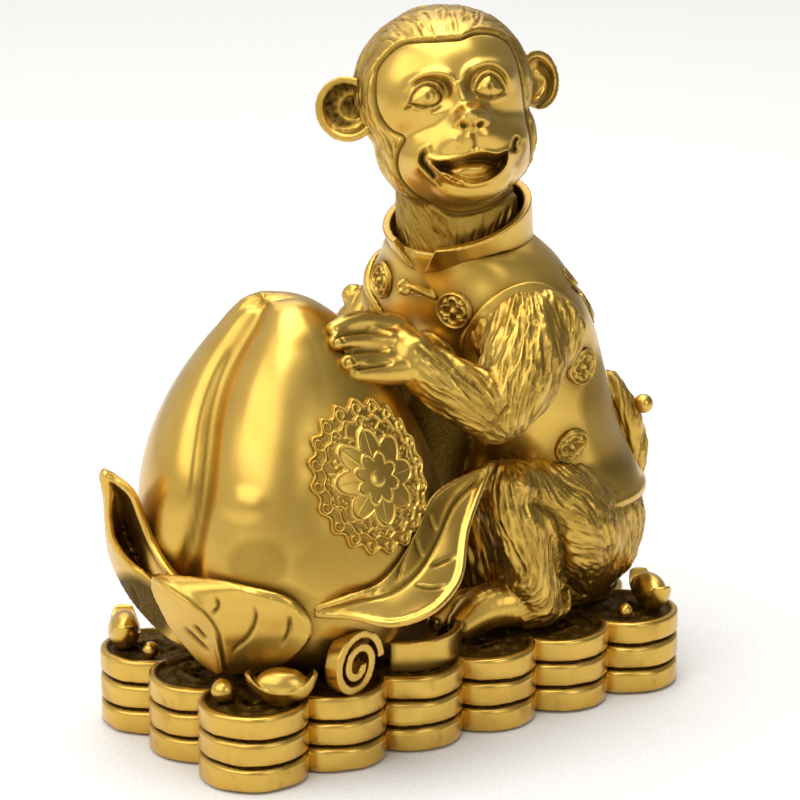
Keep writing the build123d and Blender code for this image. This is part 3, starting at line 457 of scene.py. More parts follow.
def rosette(x, y, radius, lobes, seed):
    """Relief of a lobed medallion: scrolls along its edge and a flower on a stippled ground."""
    r = np.hypot(x, y) / radius
    a = np.arctan2(y, x)
    step = 2 * math.pi / lobes
    near = (a / step - np.round(a / step)) * step
    edge = 0.955 + 0.045 * np.cos(near * lobes)
    body = np.clip((edge - r) / 0.03, 0, 1)
    rim = np.exp(-((r - edge + 0.05) / 0.022) ** 2)
    curl_r = np.hypot(r * np.cos(near) - 0.84, r * np.sin(near))
    turn_in = np.arctan2(r * np.sin(near), r * np.cos(near) - 0.84)
    curl = np.exp(-((curl_r - 0.035 - 0.022 * (turn_in + math.pi) / math.pi) / 0.014) ** 2)
    ring = np.exp(-((r - 0.735 - 0.022 * np.cos(a * lobes)) / 0.02) ** 2)
    petals = 0.40 + 0.20 * np.abs(np.cos(4 * a))
    inner = 0.22 + 0.10 * np.abs(np.sin(4 * a))
    flower = np.exp(-((r - petals) / 0.03) ** 2) + 0.9 * np.exp(-((r - inner) / 0.025) ** 2)
    veins = np.exp(-(np.sin(8 * a) * r / 0.05) ** 2) * (r > 0.24) * (r < petals)
    core = np.clip(1 - (r / 0.12) ** 2, 0, 1) ** 0.5
    fill = 0.45 * np.clip((petals - r) / 0.05, 0, 1)
    spray = np.exp(-(np.sin(8 * a + 9 * (r - 0.66)) * r / 0.09) ** 2) * (r > 0.60) * (r < 0.72)
    grit = noise(np.stack((x, y, x * 0), 1) / 0.62, seed)
    stipple = 0.5 * np.clip(grit * 2, 0, 1) * (r < 0.72) * (r > petals)
    lines = np.maximum.reduce((rim, curl, ring, flower, 0.6 * veins, core, fill, 0.8 * spray, stipple))
    return body, np.clip(lines, 0, 1)


def quatrefoil(x, y, radius):
    """Relief of a small roundel: a rim, four petals and beads."""
    r = np.hypot(x, y) / radius
    a = np.arctan2(y, x)
    rim = np.exp(-((r - 0.88) / 0.075) ** 2)
    petals = 0.30 + 0.36 * np.abs(np.cos(2 * a)) ** 0.7
    line = np.exp(-((r - petals) / 0.075) ** 2)
    core = np.exp(-(r / 0.16) ** 4)
    beads = np.exp(-((r - 0.62) / 0.10) ** 2) * np.clip(-np.cos(4 * a) * 3 - 1.6, 0, 1)
    return np.clip(np.maximum.reduce((rim, line, core, beads)), 0, 1)


class FigureSizes(bpy.types.PropertyGroup):
    """Sizes of the carved surface."""
    skin: FloatProperty(
        name="Seat mesh", description="Edge of the mesh of the seat",
        default=0.55 * MM, unit="LENGTH", precision=5)
    lock_width: FloatProperty(
        name="Lock width", description="Width of a lock of hair",
        default=1.5 * MM, unit="LENGTH", precision=5)
    lock_length: FloatProperty(
        name="Lock length", description="Length of a lock of hair",
        default=8 * MM, unit="LENGTH", precision=5)
    lock_depth: FloatProperty(
        name="Lock depth", description="Depth of the cuts in hair",
        default=0.6 * MM, unit="LENGTH", precision=5)
    coin_segments: IntProperty(name="Coin segments", description="Faces round a coin", default=72, min=24)


def fur_sizes(sizes):
    """Width, length and depth of a lock of hair, in millimetres."""
    return sizes.lock_width / MM, sizes.lock_length / MM, sizes.lock_depth / MM


class FigureColours(bpy.types.PropertyGroup):
    """Colours of the finishes."""
    brass: FloatVectorProperty(
        name="Brass", description="Rubbed brass", subtype="COLOR", default=linear("#E3BE5A"))
    brass_deep: FloatVectorProperty(
        name="Deep brass", description="Brass less rubbed", subtype="COLOR", default=linear("#C79A3A"))
    # colour of the patina in the hollows, also laid on the places of painted shade
    patina: FloatVectorProperty(
        name="Patina", description="Dark patina in the recesses", subtype="COLOR", default=linear("#2E1B06"))
    felt: FloatVectorProperty(
        name="Felt", description="Felt under the base", subtype="COLOR", default=linear("#26402E"))
    steel: FloatVectorProperty(
        name="Steel", description="Screws and bolts", subtype="COLOR", default=linear("#C8C8C6"))
    floor: FloatVectorProperty(
        name="Floor", description="Pale floor", subtype="COLOR", default=linear("#F8F7F5"))


def brass_material(colours):
    """Cast brass, toned dark and rubbed bright: golden on the high places, brown in the hollows, and darker
    still where the patina attribute carries painted shade.
    """
    material = bpy.data.materials.new("antique_brass")
    material.use_nodes = True
    tree = material.node_tree
    shader = tree.nodes["Principled BSDF"]
    shader.inputs["Metallic"].default_value = 1.0
    shader.inputs["Coat Roughness"].default_value = 0.3
    place = add_node(tree, "ShaderNodeTexCoord").outputs["Object"]
    dark = add_node(tree, "ShaderNodeAttribute", attribute_name="patina").outputs["Fac"]
    cloud = add_node(tree, "ShaderNodeTexNoise", {"Vector": place, "Scale": 1 / (9 * MM), "Detail": 4.0})
    # grain of the casting, drawn coarser than it is so that it shows
    grain = add_node(tree, "ShaderNodeTexNoise", {"Vector": place, "Scale": 1 / (0.5 * MM), "Detail": 3.0})
    tone = add_node(tree, "ShaderNodeMix", {
        "Factor": cloud.outputs["Fac"], "A": (*colours.brass, 1), "B": (*colours.brass_deep, 1),
    }, data_type="RGBA")
    stain = add_node(tree, "ShaderNodeMath", {0: grain.outputs["Fac"], 1: 0.5}, operation="MULTIPLY_ADD")
    stain.inputs[2].default_value = 0.75
    # amount of patina and of painted shade, both read from the patina attribute
    patina_and_shade = add_node(
        tree, "ShaderNodeMath", {0: dark, 1: stain.outputs[0]}, operation="MULTIPLY", use_clamp=True)
    colour = add_node(tree, "ShaderNodeMix", {
        "Factor": patina_and_shade.outputs[0], "A": tone.outputs["Result"], "B": (*colours.patina, 1),
    }, data_type="RGBA")
    tree.links.new(colour.outputs["Result"], shader.inputs["Base Color"])
    rough = add_node(tree, "ShaderNodeMapRange", {
        "Value": patina_and_shade.outputs[0], "To Min": 0.28, "To Max": 0.62,
    })
    tree.links.new(rough.outputs["Result"], shader.inputs["Roughness"])
    # thin lacquer on the rubbed places, a pale sheen over the gold
    lacquer = add_node(tree, "ShaderNodeMapRange", {
        "Value": patina_and_shade.outputs[0], "From Max": 0.5, "To Min": 0.35, "To Max": 0.0,
    })
    tree.links.new(lacquer.outputs["Result"], shader.inputs["Coat Weight"])
    bump = add_node(tree, "ShaderNodeBump", {
        "Height": grain.outputs["Fac"], "Strength": 0.12, "Distance": 0.05 * MM,
    })
    tree.links.new(bump.outputs["Normal"], shader.inputs["Normal"])
    return material


def plain_material(name, colour, metallic, roughness, grain_mm, bump_mm):
    """Even finish with a fine grain, as on drawn steel or pressed felt."""
    material = bpy.data.materials.new(name)
    material.use_nodes = True
    tree = material.node_tree
    shader = tree.nodes["Principled BSDF"]
    shader.inputs["Metallic"].default_value = metallic
    shader.inputs["Roughness"].default_value = roughness
    place = add_node(tree, "ShaderNodeTexCoord").outputs["Object"]
    grain = add_node(
        tree, "ShaderNodeTexNoise", {"Vector": place, "Scale": 1 / (grain_mm * MM), "Detail": 3.0})
    tone = add_node(tree, "ShaderNodeMix", {
        "Factor": grain.outputs["Fac"], "A": (*colour, 1), "B": (*(0.7 * c for c in colour), 1),
    }, data_type="RGBA")
    tree.links.new(tone.outputs["Result"], shader.inputs["Base Color"])
    bump = add_node(tree, "ShaderNodeBump", {
        "Height": grain.outputs["Fac"], "Strength": 0.4, "Distance": bump_mm * MM,
    })
    tree.links.new(bump.outputs["Normal"], shader.inputs["Normal"])
    return material


class ORNAMENT_OT_stage(bpy.types.Operator):
    """Makes the finishes, the floor, the lights and the camera"""
    bl_idname = "ornament.stage"
    bl_label = "Stage"

    # Half the side of the floor in metres
    floor_half = 6.0
    # Lamps: name, place, width and height in metres, power in watts and the place that they face
    lamps = (
        ("key", (-0.95, -0.14, 0.86), 1.5, 0.9, 6.4, (0, 0, 0.08)),
        ("fill", (0.1, -1.2, 0.6), 0.6, 0.7, 2.4, (0, 0, 0.08)),
        ("top", (-0.05, 0.0, 1.2), 0.9, 0.9, 8.5, (0, 0, 0.08)),
        ("backdrop", (0.55, 0.8, 1.15), 1.4, 1.4, 7.0, (0.55, 0.8, 0)),
    )

    def execute(self, context):
        colours = context.scene.figure_colours
        brass_material(colours)
        # drawn steel, a grey satin metal
        plain_material("drawn_steel", colours.steel, 1.0, 0.35, 0.4, 0.02)
        # pressed wool, matt with a fibrous grain
        plain_material("pressed_felt", colours.felt, 0.0, 0.95, 0.6, 0.2)
        # matt white paper, which takes a soft shadow
        floor_finish = plain_material("matt_paper", colours.floor, 0.0, 0.9, 0.8, 0.01)
        bm = bmesh.new()
        bmesh.ops.create_grid(bm, x_segments=4, y_segments=4, size=self.floor_half)
        mesh = bpy.data.meshes.new("floor")
        bm.to_mesh(mesh)
        bm.free()
        mesh.materials.append(floor_finish)
        floor = bpy.data.objects.new("floor", mesh)
        context.collection.objects.link(floor)
        world = bpy.data.worlds.new("studio")
        context.scene.world = world
        world.use_nodes = True
        tree = world.node_tree
        sky = tree.nodes["Background"]
        sky.inputs["Color"].default_value = (1.0, 0.99, 0.97, 1)
        # brighter on the left of the picture than on the right
        way = add_node(tree, "ShaderNodeTexCoord").outputs["Generated"]
        side = add_node(tree, "ShaderNodeVectorMath", {0: way, 1: tuple(ACROSS)}, operation="DOT_PRODUCT")
        glow = add_node(tree, "ShaderNodeMapRange", {
            "Value": side.outputs["Value"], "From Min": -0.8, "From Max": 0.9, "To Min": 0.78, "To Max": 0.22,
        })
        tree.links.new(glow.outputs["Result"], sky.inputs["Strength"])
        for lamp in self.lamps:
            self.light(*lamp)
        camera = bpy.data.cameras.new("camera")
        camera.sensor_width = SENSOR_MM
        camera.lens = FOCAL_PIXELS * SENSOR_MM / PICTURE_PIXELS
        camera.clip_start = 0.01
        holder = bpy.data.objects.new("camera", camera)
        matrix = Matrix((ACROSS, UPWARD, BACK)).transposed().to_4x4()
        matrix.translation = Vector(EYE * MM)
        holder.matrix_world = matrix
        context.collection.objects.link(holder)
        context.scene.camera = holder
        context.scene.view_settings.view_transform = "Standard"
        return {"FINISHED"}

    def light(self, name, place, width, height, power, target):
        lamp = bpy.data.lights.new(name, "AREA")
        lamp.shape = "RECTANGLE"
        lamp.size = width
        lamp.size_y = height
        lamp.energy = power
        holder = bpy.data.objects.new(name, lamp)
        holder.location = place
        aim = Vector(target) - Vector(place)
        holder.rotation_euler = aim.to_track_quat("-Z", "Y").to_euler()
        bpy.context.collection.objects.link(holder)


class ORNAMENT_OT_underside(bpy.types.Operator):
    """Finishes the plate, screws, bolts, dowels and felt, which keep their CAD shapes"""
    bl_idname = "ornament.underside"
    bl_label = "Underside"

    finishes = (
        ("drawn_steel", ("base_screws", "peach_bolt", "trunk_bolts")),
        ("pressed_felt", ("felt_sheet",)),
        ("antique_brass", ("base_plate", "arm_dowels")),
    )

    def execute(self, context):
        for finish, names in self.finishes:
            for name in names:
                NODES[name].data.materials.clear()
                NODES[name].data.materials.append(bpy.data.materials[finish])
        return {"FINISHED"}


class ORNAMENT_OT_coins(bpy.types.Operator):
    """Models the base of coin stacks with their rims, grooves and faces"""
    bl_idname = "ornament.coins"
    bl_label = "Coin base"

    # Stacks: how many, and their sizes in millimetres
    columns = 6
    rows = 3
    layers = 3
    radius = 12.6
    pitch = 21.5
    thickness = 5.3
    groove = 1.0
    groove_depth = 1.1
    rim = 1.9
    recess = 0.9
    bottom = 0.5
    # Face of a coin in millimetres: a square frame round its hole, and a ring of bars
    frame_half = 3.6
    hole_half = 2.9
    ring_radius = 7.4
    bars = 8

    def outline(self):
        """Half section of a stack, from the middle of its top face to the middle of its foot."""
        top = self.bottom + self.layers * self.thickness + (self.layers - 1) * self.groove
        face = top - self.recess
        points = [(r, face) for r in np.linspace(0, self.radius - self.rim - 0.3, 26)]
        points += [(self.radius - self.rim, top - 0.15), (self.radius - self.rim + 0.3, top)]
        points += [(self.radius - 0.9, top)]
        z = top
        for layer in range(self.layers):
            points += [(self.radius - 0.35, z - 0.12), (self.radius - 0.05, z - 0.5)]
            points += [(self.radius, z - share * self.thickness) for share in (0.25, 0.5, 0.75)]
            z -= self.thickness
            points += [(self.radius - 0.05, z + 0.45), (self.radius - 0.3, z + 0.12)]
            if layer < self.layers - 1:
                points += [(self.radius - self.groove_depth, z - drop) for drop in (0.1, 0.9)]
                z -= self.groove
        return points + [(self.radius - 0.9, z), (0, z)]

    def centres(self):
        """Middles of the stacks that stand along the edge of the base."""
        ends = (0, self.columns - 1)
        sides = (0, self.rows - 1)
        places = [(i, j) for i in range(self.columns) for j in range(self.rows) if i in ends or j in sides]
        return [((i - ends[1] / 2) * self.pitch, (j - sides[1] / 2) * self.pitch) for i, j in places]

    def execute(self, context):
        outline = self.outline()
        face = outline[0][1]
        clay = Clay(self.stacks(outline, face, context.scene.figure_sizes.coin_segments))
        away = clay.spots[:, None, :2] - np.array(self.centres())[None]
        reach = np.linalg.norm(away, axis=2)
        own = reach.argmin(1)
        x, y = away[np.arange(len(own)), own].T
        r = reach.min(1)
        height = clay.spots[:, 2].copy()
        flat = (np.abs(height - face) < 0.05) & (r < self.radius - self.rim)
        square = np.maximum(np.abs(x), np.abs(y))
        ridge = np.exp(-((square - self.frame_half) / 0.5) ** 2) * 0.7
        hole = np.where(square < self.hole_half, -0.5, 0)
        spokes = np.clip(np.cos(self.bars * np.arctan2(y, x)) * 2, 0, 1)
        marks = np.exp(-((r - self.ring_radius) / 1.1) ** 2) * spokes * 0.6
        crumbs = np.clip(noise(clay.spots / 0.9, 3), 0, 1) * 0.5
        flecks = np.clip(noise(clay.spots / 0.7, 5) * 2.4 - 0.7, 0, 1)
        relief = np.where(flat, ridge + hole + marks + crumbs, 0)
        clay.spots[:, 2] += relief
        clay.dark = np.where(flat, np.clip(0.9 - relief * 0.5 - 0.7 * flecks, 0.15, 1), 0)
        groove = (np.abs(r - self.radius + self.groove_depth) < 0.15) & (height < face - 1)
        clay.dark[groove] = 1
        sunk = (r > self.radius + 0.2) | (r < self.radius - 1.5)
        clay.dark = np.maximum(clay.dark, np.where(sunk, 0.85, 0))
        stains = np.clip(noise(clay.spots / 3.5, 12) + 0.6 * noise(clay.spots / 1.1, 13) - 0.25, 0, 1)
        clay.dark = np.maximum(clay.dark, 0.3 * stains)
        # worn edges
        clay.spots += noise(clay.spots / 6.0, 8)[:, None] * np.array((0.3, 0.3, 0.1))
        clay.spots += noise(clay.spots / 1.6, 9)[:, None] * np.array((0.09, 0.09, 0.05))
        clay.finish("coin_stacks", "coin_base")
        return {"FINISHED"}

    def stacks(self, outline, face, segments):
        """Spins the outline into the stacks and puts the deck between them."""
        bm = bmesh.new()
        for x, y in self.centres():
            centre = Vector((x, y, 0))
            verts = [bm.verts.new(centre + Vector((r, 0, z))) for r, z in outline]
            edges = [bm.edges.new(pair) for pair in zip(verts, verts[1:])]
            bmesh.ops.spin(
                bm, geom=verts + edges, cent=centre, axis=(0, 0, 1), dvec=(0, 0, 0),
                angle=2 * math.pi, steps=segments, use_merge=True, use_normal_flip=False)
        bmesh.ops.remove_doubles(bm, verts=bm.verts, dist=0.001)
        size = ((self.columns - 1) * self.pitch, (self.rows - 1) * self.pitch, face - self.bottom)
        deck = Matrix.Translation((0, 0, self.bottom + size[2] / 2)) @ Matrix.Diagonal((*size, 1))
        made = bmesh.ops.create_cube(bm, size=1, matrix=deck)
        inner = [e for e in bm.edges if all(v in set(made["verts"]) for v in e.verts)]
        bmesh.ops.subdivide_edges(bm, edges=inner, cuts=24, use_grid_fill=True)
        bmesh.ops.recalc_face_normals(bm, faces=bm.faces)
        return bm


class ORNAMENT_OT_treasures(bpy.types.Operator):
    """Models the ingots, pearls, curled tendril and ribbon on the coins"""
    bl_idname = "ornament.treasures"
    bl_label = "Treasures"

    # Hull of an ingot, as shares of half its length
    hull_length_share = 0.78
    hull_width_share = 0.46

    def execute(self, context):
        for name in ("ingot_front", "ingot_left", "ingot_right", "scroll", "ribbon", "pearls"):
            bm = from_node(name)
            if name.startswith("ingot"):
                self.fill_hull(bm)
            clay = Clay(bm, 0.3, 4)
            clay.patina(0.2, 0.8, 8)
            clay.finish(name + "_cast", name)
        return {"FINISHED"}

    def fill_hull(self, bm):
        """Adds a full round hull below the rim of an ingot."""
        spots = np.array([v.co for v in bm.verts])
        low = spots.min(0)
        high = spots.max(0)
        middle = (low + high) / 2
        flat = spots[:, :2] - middle[:2]
        way = np.linalg.svd(flat, full_matrices=False)[2][0]
        half = np.abs(flat @ way).max()
        turned = Matrix.Rotation(math.atan2(way[1], way[0]), 3, "Z")
        deep = (high[2] - low[2]) * 0.5
        radii = (half * self.hull_length_share, half * self.hull_width_share, deep)
        add_ball(bm, (middle[0], middle[1], low[2] + deep), radii, turned)


class ORNAMENT_OT_peach(bpy.types.Operator):
    """Models the peach with its crease and its medallion"""
    bl_idname = "ornament.peach"
    bl_label = "Peach"

    crease = (
        (262, 297), (252, 318), (236, 345), (221, 378), (211, 415), (206, 455), (201, 495), (193, 535),
        (184, 575), (176, 620))
    # Cuts of the crease: first of its points, width and height in millimetres, darkness and taper
    crease_cuts = ((0, 6.5, -2.6, 0.0, 0.0), (0, 2.4, -2.2, 0.3, 0.0), (2, 1.1, -0.7, 0.6, 0.3))
    # Swells of the outline: pixel, half sizes in pixels, way in the picture and height in millimetres
    swells = (((190, 380), 110, 150, (-0.8, -0.6), 2.9), ((290, 300), 85, 45, (0, -1), 1.7))
    # Raised patches: pixel, half sizes in pixels, height in millimetres, tilt in degrees and fall
    left_lobe = ((160, 450), 75, 150, 1.6, 8, 1.2)
    right_lobe = ((262, 430), 60, 120, 1.2, 8, 1.2)
    bump = ((243, 505), 26, 20, 0.7, 0, 1.5)
    # Patches of painted shade, on the right side beside the body and low on the front above the leaves:
    # pixel, half sizes in pixels, tilt in degrees and strength
    shade_patches = (
        ((456, 450), 46, 120, 0, 0.8), ((250, 600), 80, 26, 4, 0.45), ((258, 565), 36, 30, 0, 0.35),
        ((345, 560), 66, 38, -20, 0.27))
    # Medallion: turn to the side, share of the peach's height, slope, and sizes in millimetres
    medallion_yaw = math.radians(4)
    medallion_share = 0.575
    medallion_slope = 0.42
    medallion_radius = 18.6
    medallion_height = 0.45
    medallion_relief = 0.75
    medallion_root = 0.25
    medallion_lobes = 20

    def execute(self, context):
        bm = bmesh.new()
        bmesh.ops.create_uvsphere(bm, u_segments=256, v_segments=180, radius=1)
        clay = Clay(bm)
        x, y, z = clay.spots.T
        share = 1 - np.arccos(np.clip(z, -1, 1)) / math.pi
        clay.spots = peach_skin(np.arctan2(x, -y), share)
        for swell in self.swells:
            clay.swell(*swell)
        clay.dab(*self.left_lobe)
        clay.dab(*self.right_lobe)
        for first, width, height, dark, taper in self.crease_cuts:
            clay.carve(self.crease[first:], width, height, dark, taper)
        clay.dab(*self.bump)
        # painted shade: darkens the patches where the body and the leaves shade the peach
        for tone in self.shade_patches:
            clay.tone(*tone)
        clay.soften(3)
        clay.finish("peach_fruit", "peach")
        self.medallion()
        return {"FINISHED"}

    def medallion(self):
        """Lays a disc on the skin of the peach and raises the rosette on it."""
        bm = bmesh.new()
        bmesh.ops.create_grid(bm, x_segments=230, y_segments=230, size=self.medallion_radius)
        corners = [v for v in bm.verts if v.co.xy.length > self.medallion_radius]
        bmesh.ops.delete(bm, geom=corners, context="VERTS")
        clay = Clay(bm)
        x, y = clay.spots[:, :2].T
        centre = peach_skin(np.array([self.medallion_yaw]), np.array([self.medallion_share]))[0]
        out = np.array((math.sin(self.medallion_yaw), -math.cos(self.medallion_yaw), self.medallion_slope))
        out /= np.linalg.norm(out)
        level = np.cross((0, 0, 1), out)
        level /= np.linalg.norm(level)
        upward = np.cross(out, level)
        spots = centre + x[:, None] * level + y[:, None] * upward
        yaw = np.arctan2(spots[:, 0] - PEACH_FOOT[0], -(spots[:, 1] - PEACH_FOOT[1]))
        clay.spots = peach_skin(yaw, (spots[:, 2] - PEACH_FOOT[2]) / PEACH_HEIGHT)
        clay.dab(*self.right_lobe)
        body, lines = rosette(x, y, self.medallion_radius, self.medallion_lobes, 21)
        raised = body * (self.medallion_height + self.medallion_relief * lines)
        clay.push(raised - self.medallion_root * (1 - body))
        clay.dark = body * np.clip(0.9 - 1.3 * lines, 0, 1) * 0.6
        clay.finish("medallion", "peach_medallion")


class ORNAMENT_OT_leaves(bpy.types.Operator):
    """Models the three leaves round the peach"""
    bl_idname = "ornament.leaves"
    bl_label = "Leaves"

    # Lines of each leaf from stem to tip, as pixels and distances from the camera in millimetres
    front = (
        ((219, 671, 819), (200, 657, 818), (184, 638, 816), (172, 622, 814), (163, 604, 812),
         (157, 591, 811), (155, 579, 811)),
        ((223, 669, 818), (219, 650, 812), (214, 630, 807), (204, 614, 804.5), (190, 602, 804),
         (172, 589, 806), (156, 579, 811)),
        ((226, 669, 818), (262, 668, 815), (291, 655, 811), (309, 630, 806), (292, 604, 801),
         (240, 588, 800.5), (158, 577, 811)))
    left = (
        ((192, 655, 829), (160, 633, 831), (133, 604, 833), (115, 573, 834), (106, 545, 832),
         (103.5, 505, 822), (103, 474, 814)),
        ((188, 603, 820), (156, 584, 822.5), (130, 564, 824), (113, 540, 823), (109, 520, 820),
         (108, 497, 815.5), (104, 474, 813)),
        ((190, 606, 834), (164, 590, 835), (142, 568, 835), (128, 542, 835), (121, 520, 831),
         (115, 497, 824), (106, 475, 814)),
        ((205, 600, 806.5), (180, 584, 809.4), (163, 564, 812.4), (150, 540, 815.4), (141, 518, 815),
         (130, 493, 812.5), (108, 475, 813)))
    right = (
        ((316, 614, 806), (350, 616, 805), (392, 624, 804), (430, 612, 807), (455, 586, 812),
         (466, 530, 821), (489, 466, 832)),
        ((316, 611, 806), (352, 601, 804.5), (391, 590, 807), (414, 572, 810), (434, 540, 816.5),
         (451, 503, 823), (488, 466, 832)),
        ((316, 607, 805), (348, 597, 803), (380, 585, 806.5), (400, 564, 809.5), (416, 535, 813),
         (432, 499, 820.5), (486, 466, 832)))
    front_veins = (((215, 596), (218, 606), (211, 616)), ((253, 604), (256, 616), (249, 636), (231, 653)),
                   ((289, 616), (288, 632), (281, 648)), ((183, 627), (196, 640), (209, 653)),
                   ((193, 625), (200, 633), (207, 641)))
    right_veins = (((430, 513), (432, 523), (436, 531)), ((416, 536), (418, 548), (423, 557)),
                   ((412, 545), (403, 562), (397, 582)), ((457, 555), (444, 561), (430, 567)),
                   ((448, 585), (432, 588), (415, 585)))
    left_veins = (((131, 585), (136, 598), (140, 612)), ((120, 512), (126, 535), (134, 552)),
                  ((122, 535), (132, 552), (146, 568)))
    # Rolled edges: line of the leaf and radius in millimetres
    front_rims = ((2, 0.95), (0, 0.75))
    left_rims = ((1, 0.95), (3, 0.8))
    right_rims = ((0, 0.95), (2, 0.7))
    # Patches of painted shade on the parts of the leaves that lie in shadow: pixel, half sizes in pixels,
    # tilt in degrees and strength
    front_shade = ((262, 652), 50, 16, -10, 0.4)
    left_shade = ((140, 606), 44, 28, 45, 0.85)
    right_shade = ((424, 542), 78, 19, -56, 0.58)
    # Thickness of a leaf and how far it bulges between its lines, in millimetres
    thickness = 1.4
    bulge = 2.0
    # Step from a rib to the groove beside it, in pixels
    groove_step = (4, 2)

    def execute(self, context):
        self.leaf("leaf_front", self.front, 1, self.front_veins, self.front_rims, self.front_shade)
        self.leaf("leaf_left", self.left, 2, self.left_veins, self.left_rims, self.left_shade)
        self.leaf("leaf_right", self.right, 1, self.right_veins, self.right_rims, self.right_shade)
        return {"FINISHED"}

    def leaf(self, name, lines, rib, veins, rims, tone):
        """Skins the lines of a leaf, thickens the skin and cuts its rib and veins."""
        bm = bmesh.new()
        bmesh.ops.create_grid(bm, x_segments=70, y_segments=30 * (len(lines) - 1), size=1)
        flat = np.array([v.co[:2] for v in bm.verts])
        along = (flat[:, 0] + 1) / 2
        over = (flat[:, 1] + 1) / 2 * (len(lines) - 1)
        stations = np.linspace(0, 1, len(lines[0]))
        rows = []
        for line in lines:
            table = np.array([spot_at(*pixel) for pixel in line])
            rows.append(np.stack([smooth_table(along, stations, table[:, k]) for k in range(3)], 1))
        first = np.clip(over.astype(int), 0, len(lines) - 2)
        part = (over - first)[:, None]
        rows = np.stack(rows)
        pick = np.arange(len(flat))
        spots = rows[first, pick] * (1 - part) + rows[first + 1, pick] * part
        swell = (part * (1 - part)) * np.sin(math.pi * along)[:, None]
        spots += BACK * swell * self.bulge
        for vert, spot in zip(bm.verts, spots):
            vert.co = spot
        bmesh.ops.recalc_face_normals(bm, faces=bm.faces)
        bmesh.ops.solidify(bm, geom=bm.faces, thickness=self.thickness)
        for row, radius in rims:
            add_limb(bm, [(spot_at(*pixel), radius) for pixel in lines[row]], 0.7, 2)
        clay = Clay(bm, 0.4, 6)
        middle = [pixel[:2] for pixel in lines[rib]]
        beside = [(u + self.groove_step[0], v + self.groove_step[1]) for u, v in middle]
        clay.carve(middle, 0.8, 0.55)
        clay.carve(beside, 0.4, -0.5, 0.75, 0.1)
        for vein in veins:
            clay.carve(vein, 0.45, -0.6, 0.85, 0.25)
        # painted shade on the part of the leaf that lies in shadow
        clay.tone(*tone)
        clay.patina(0.5, 0.5, 12)
        clay.finish(name + "_cast", name)


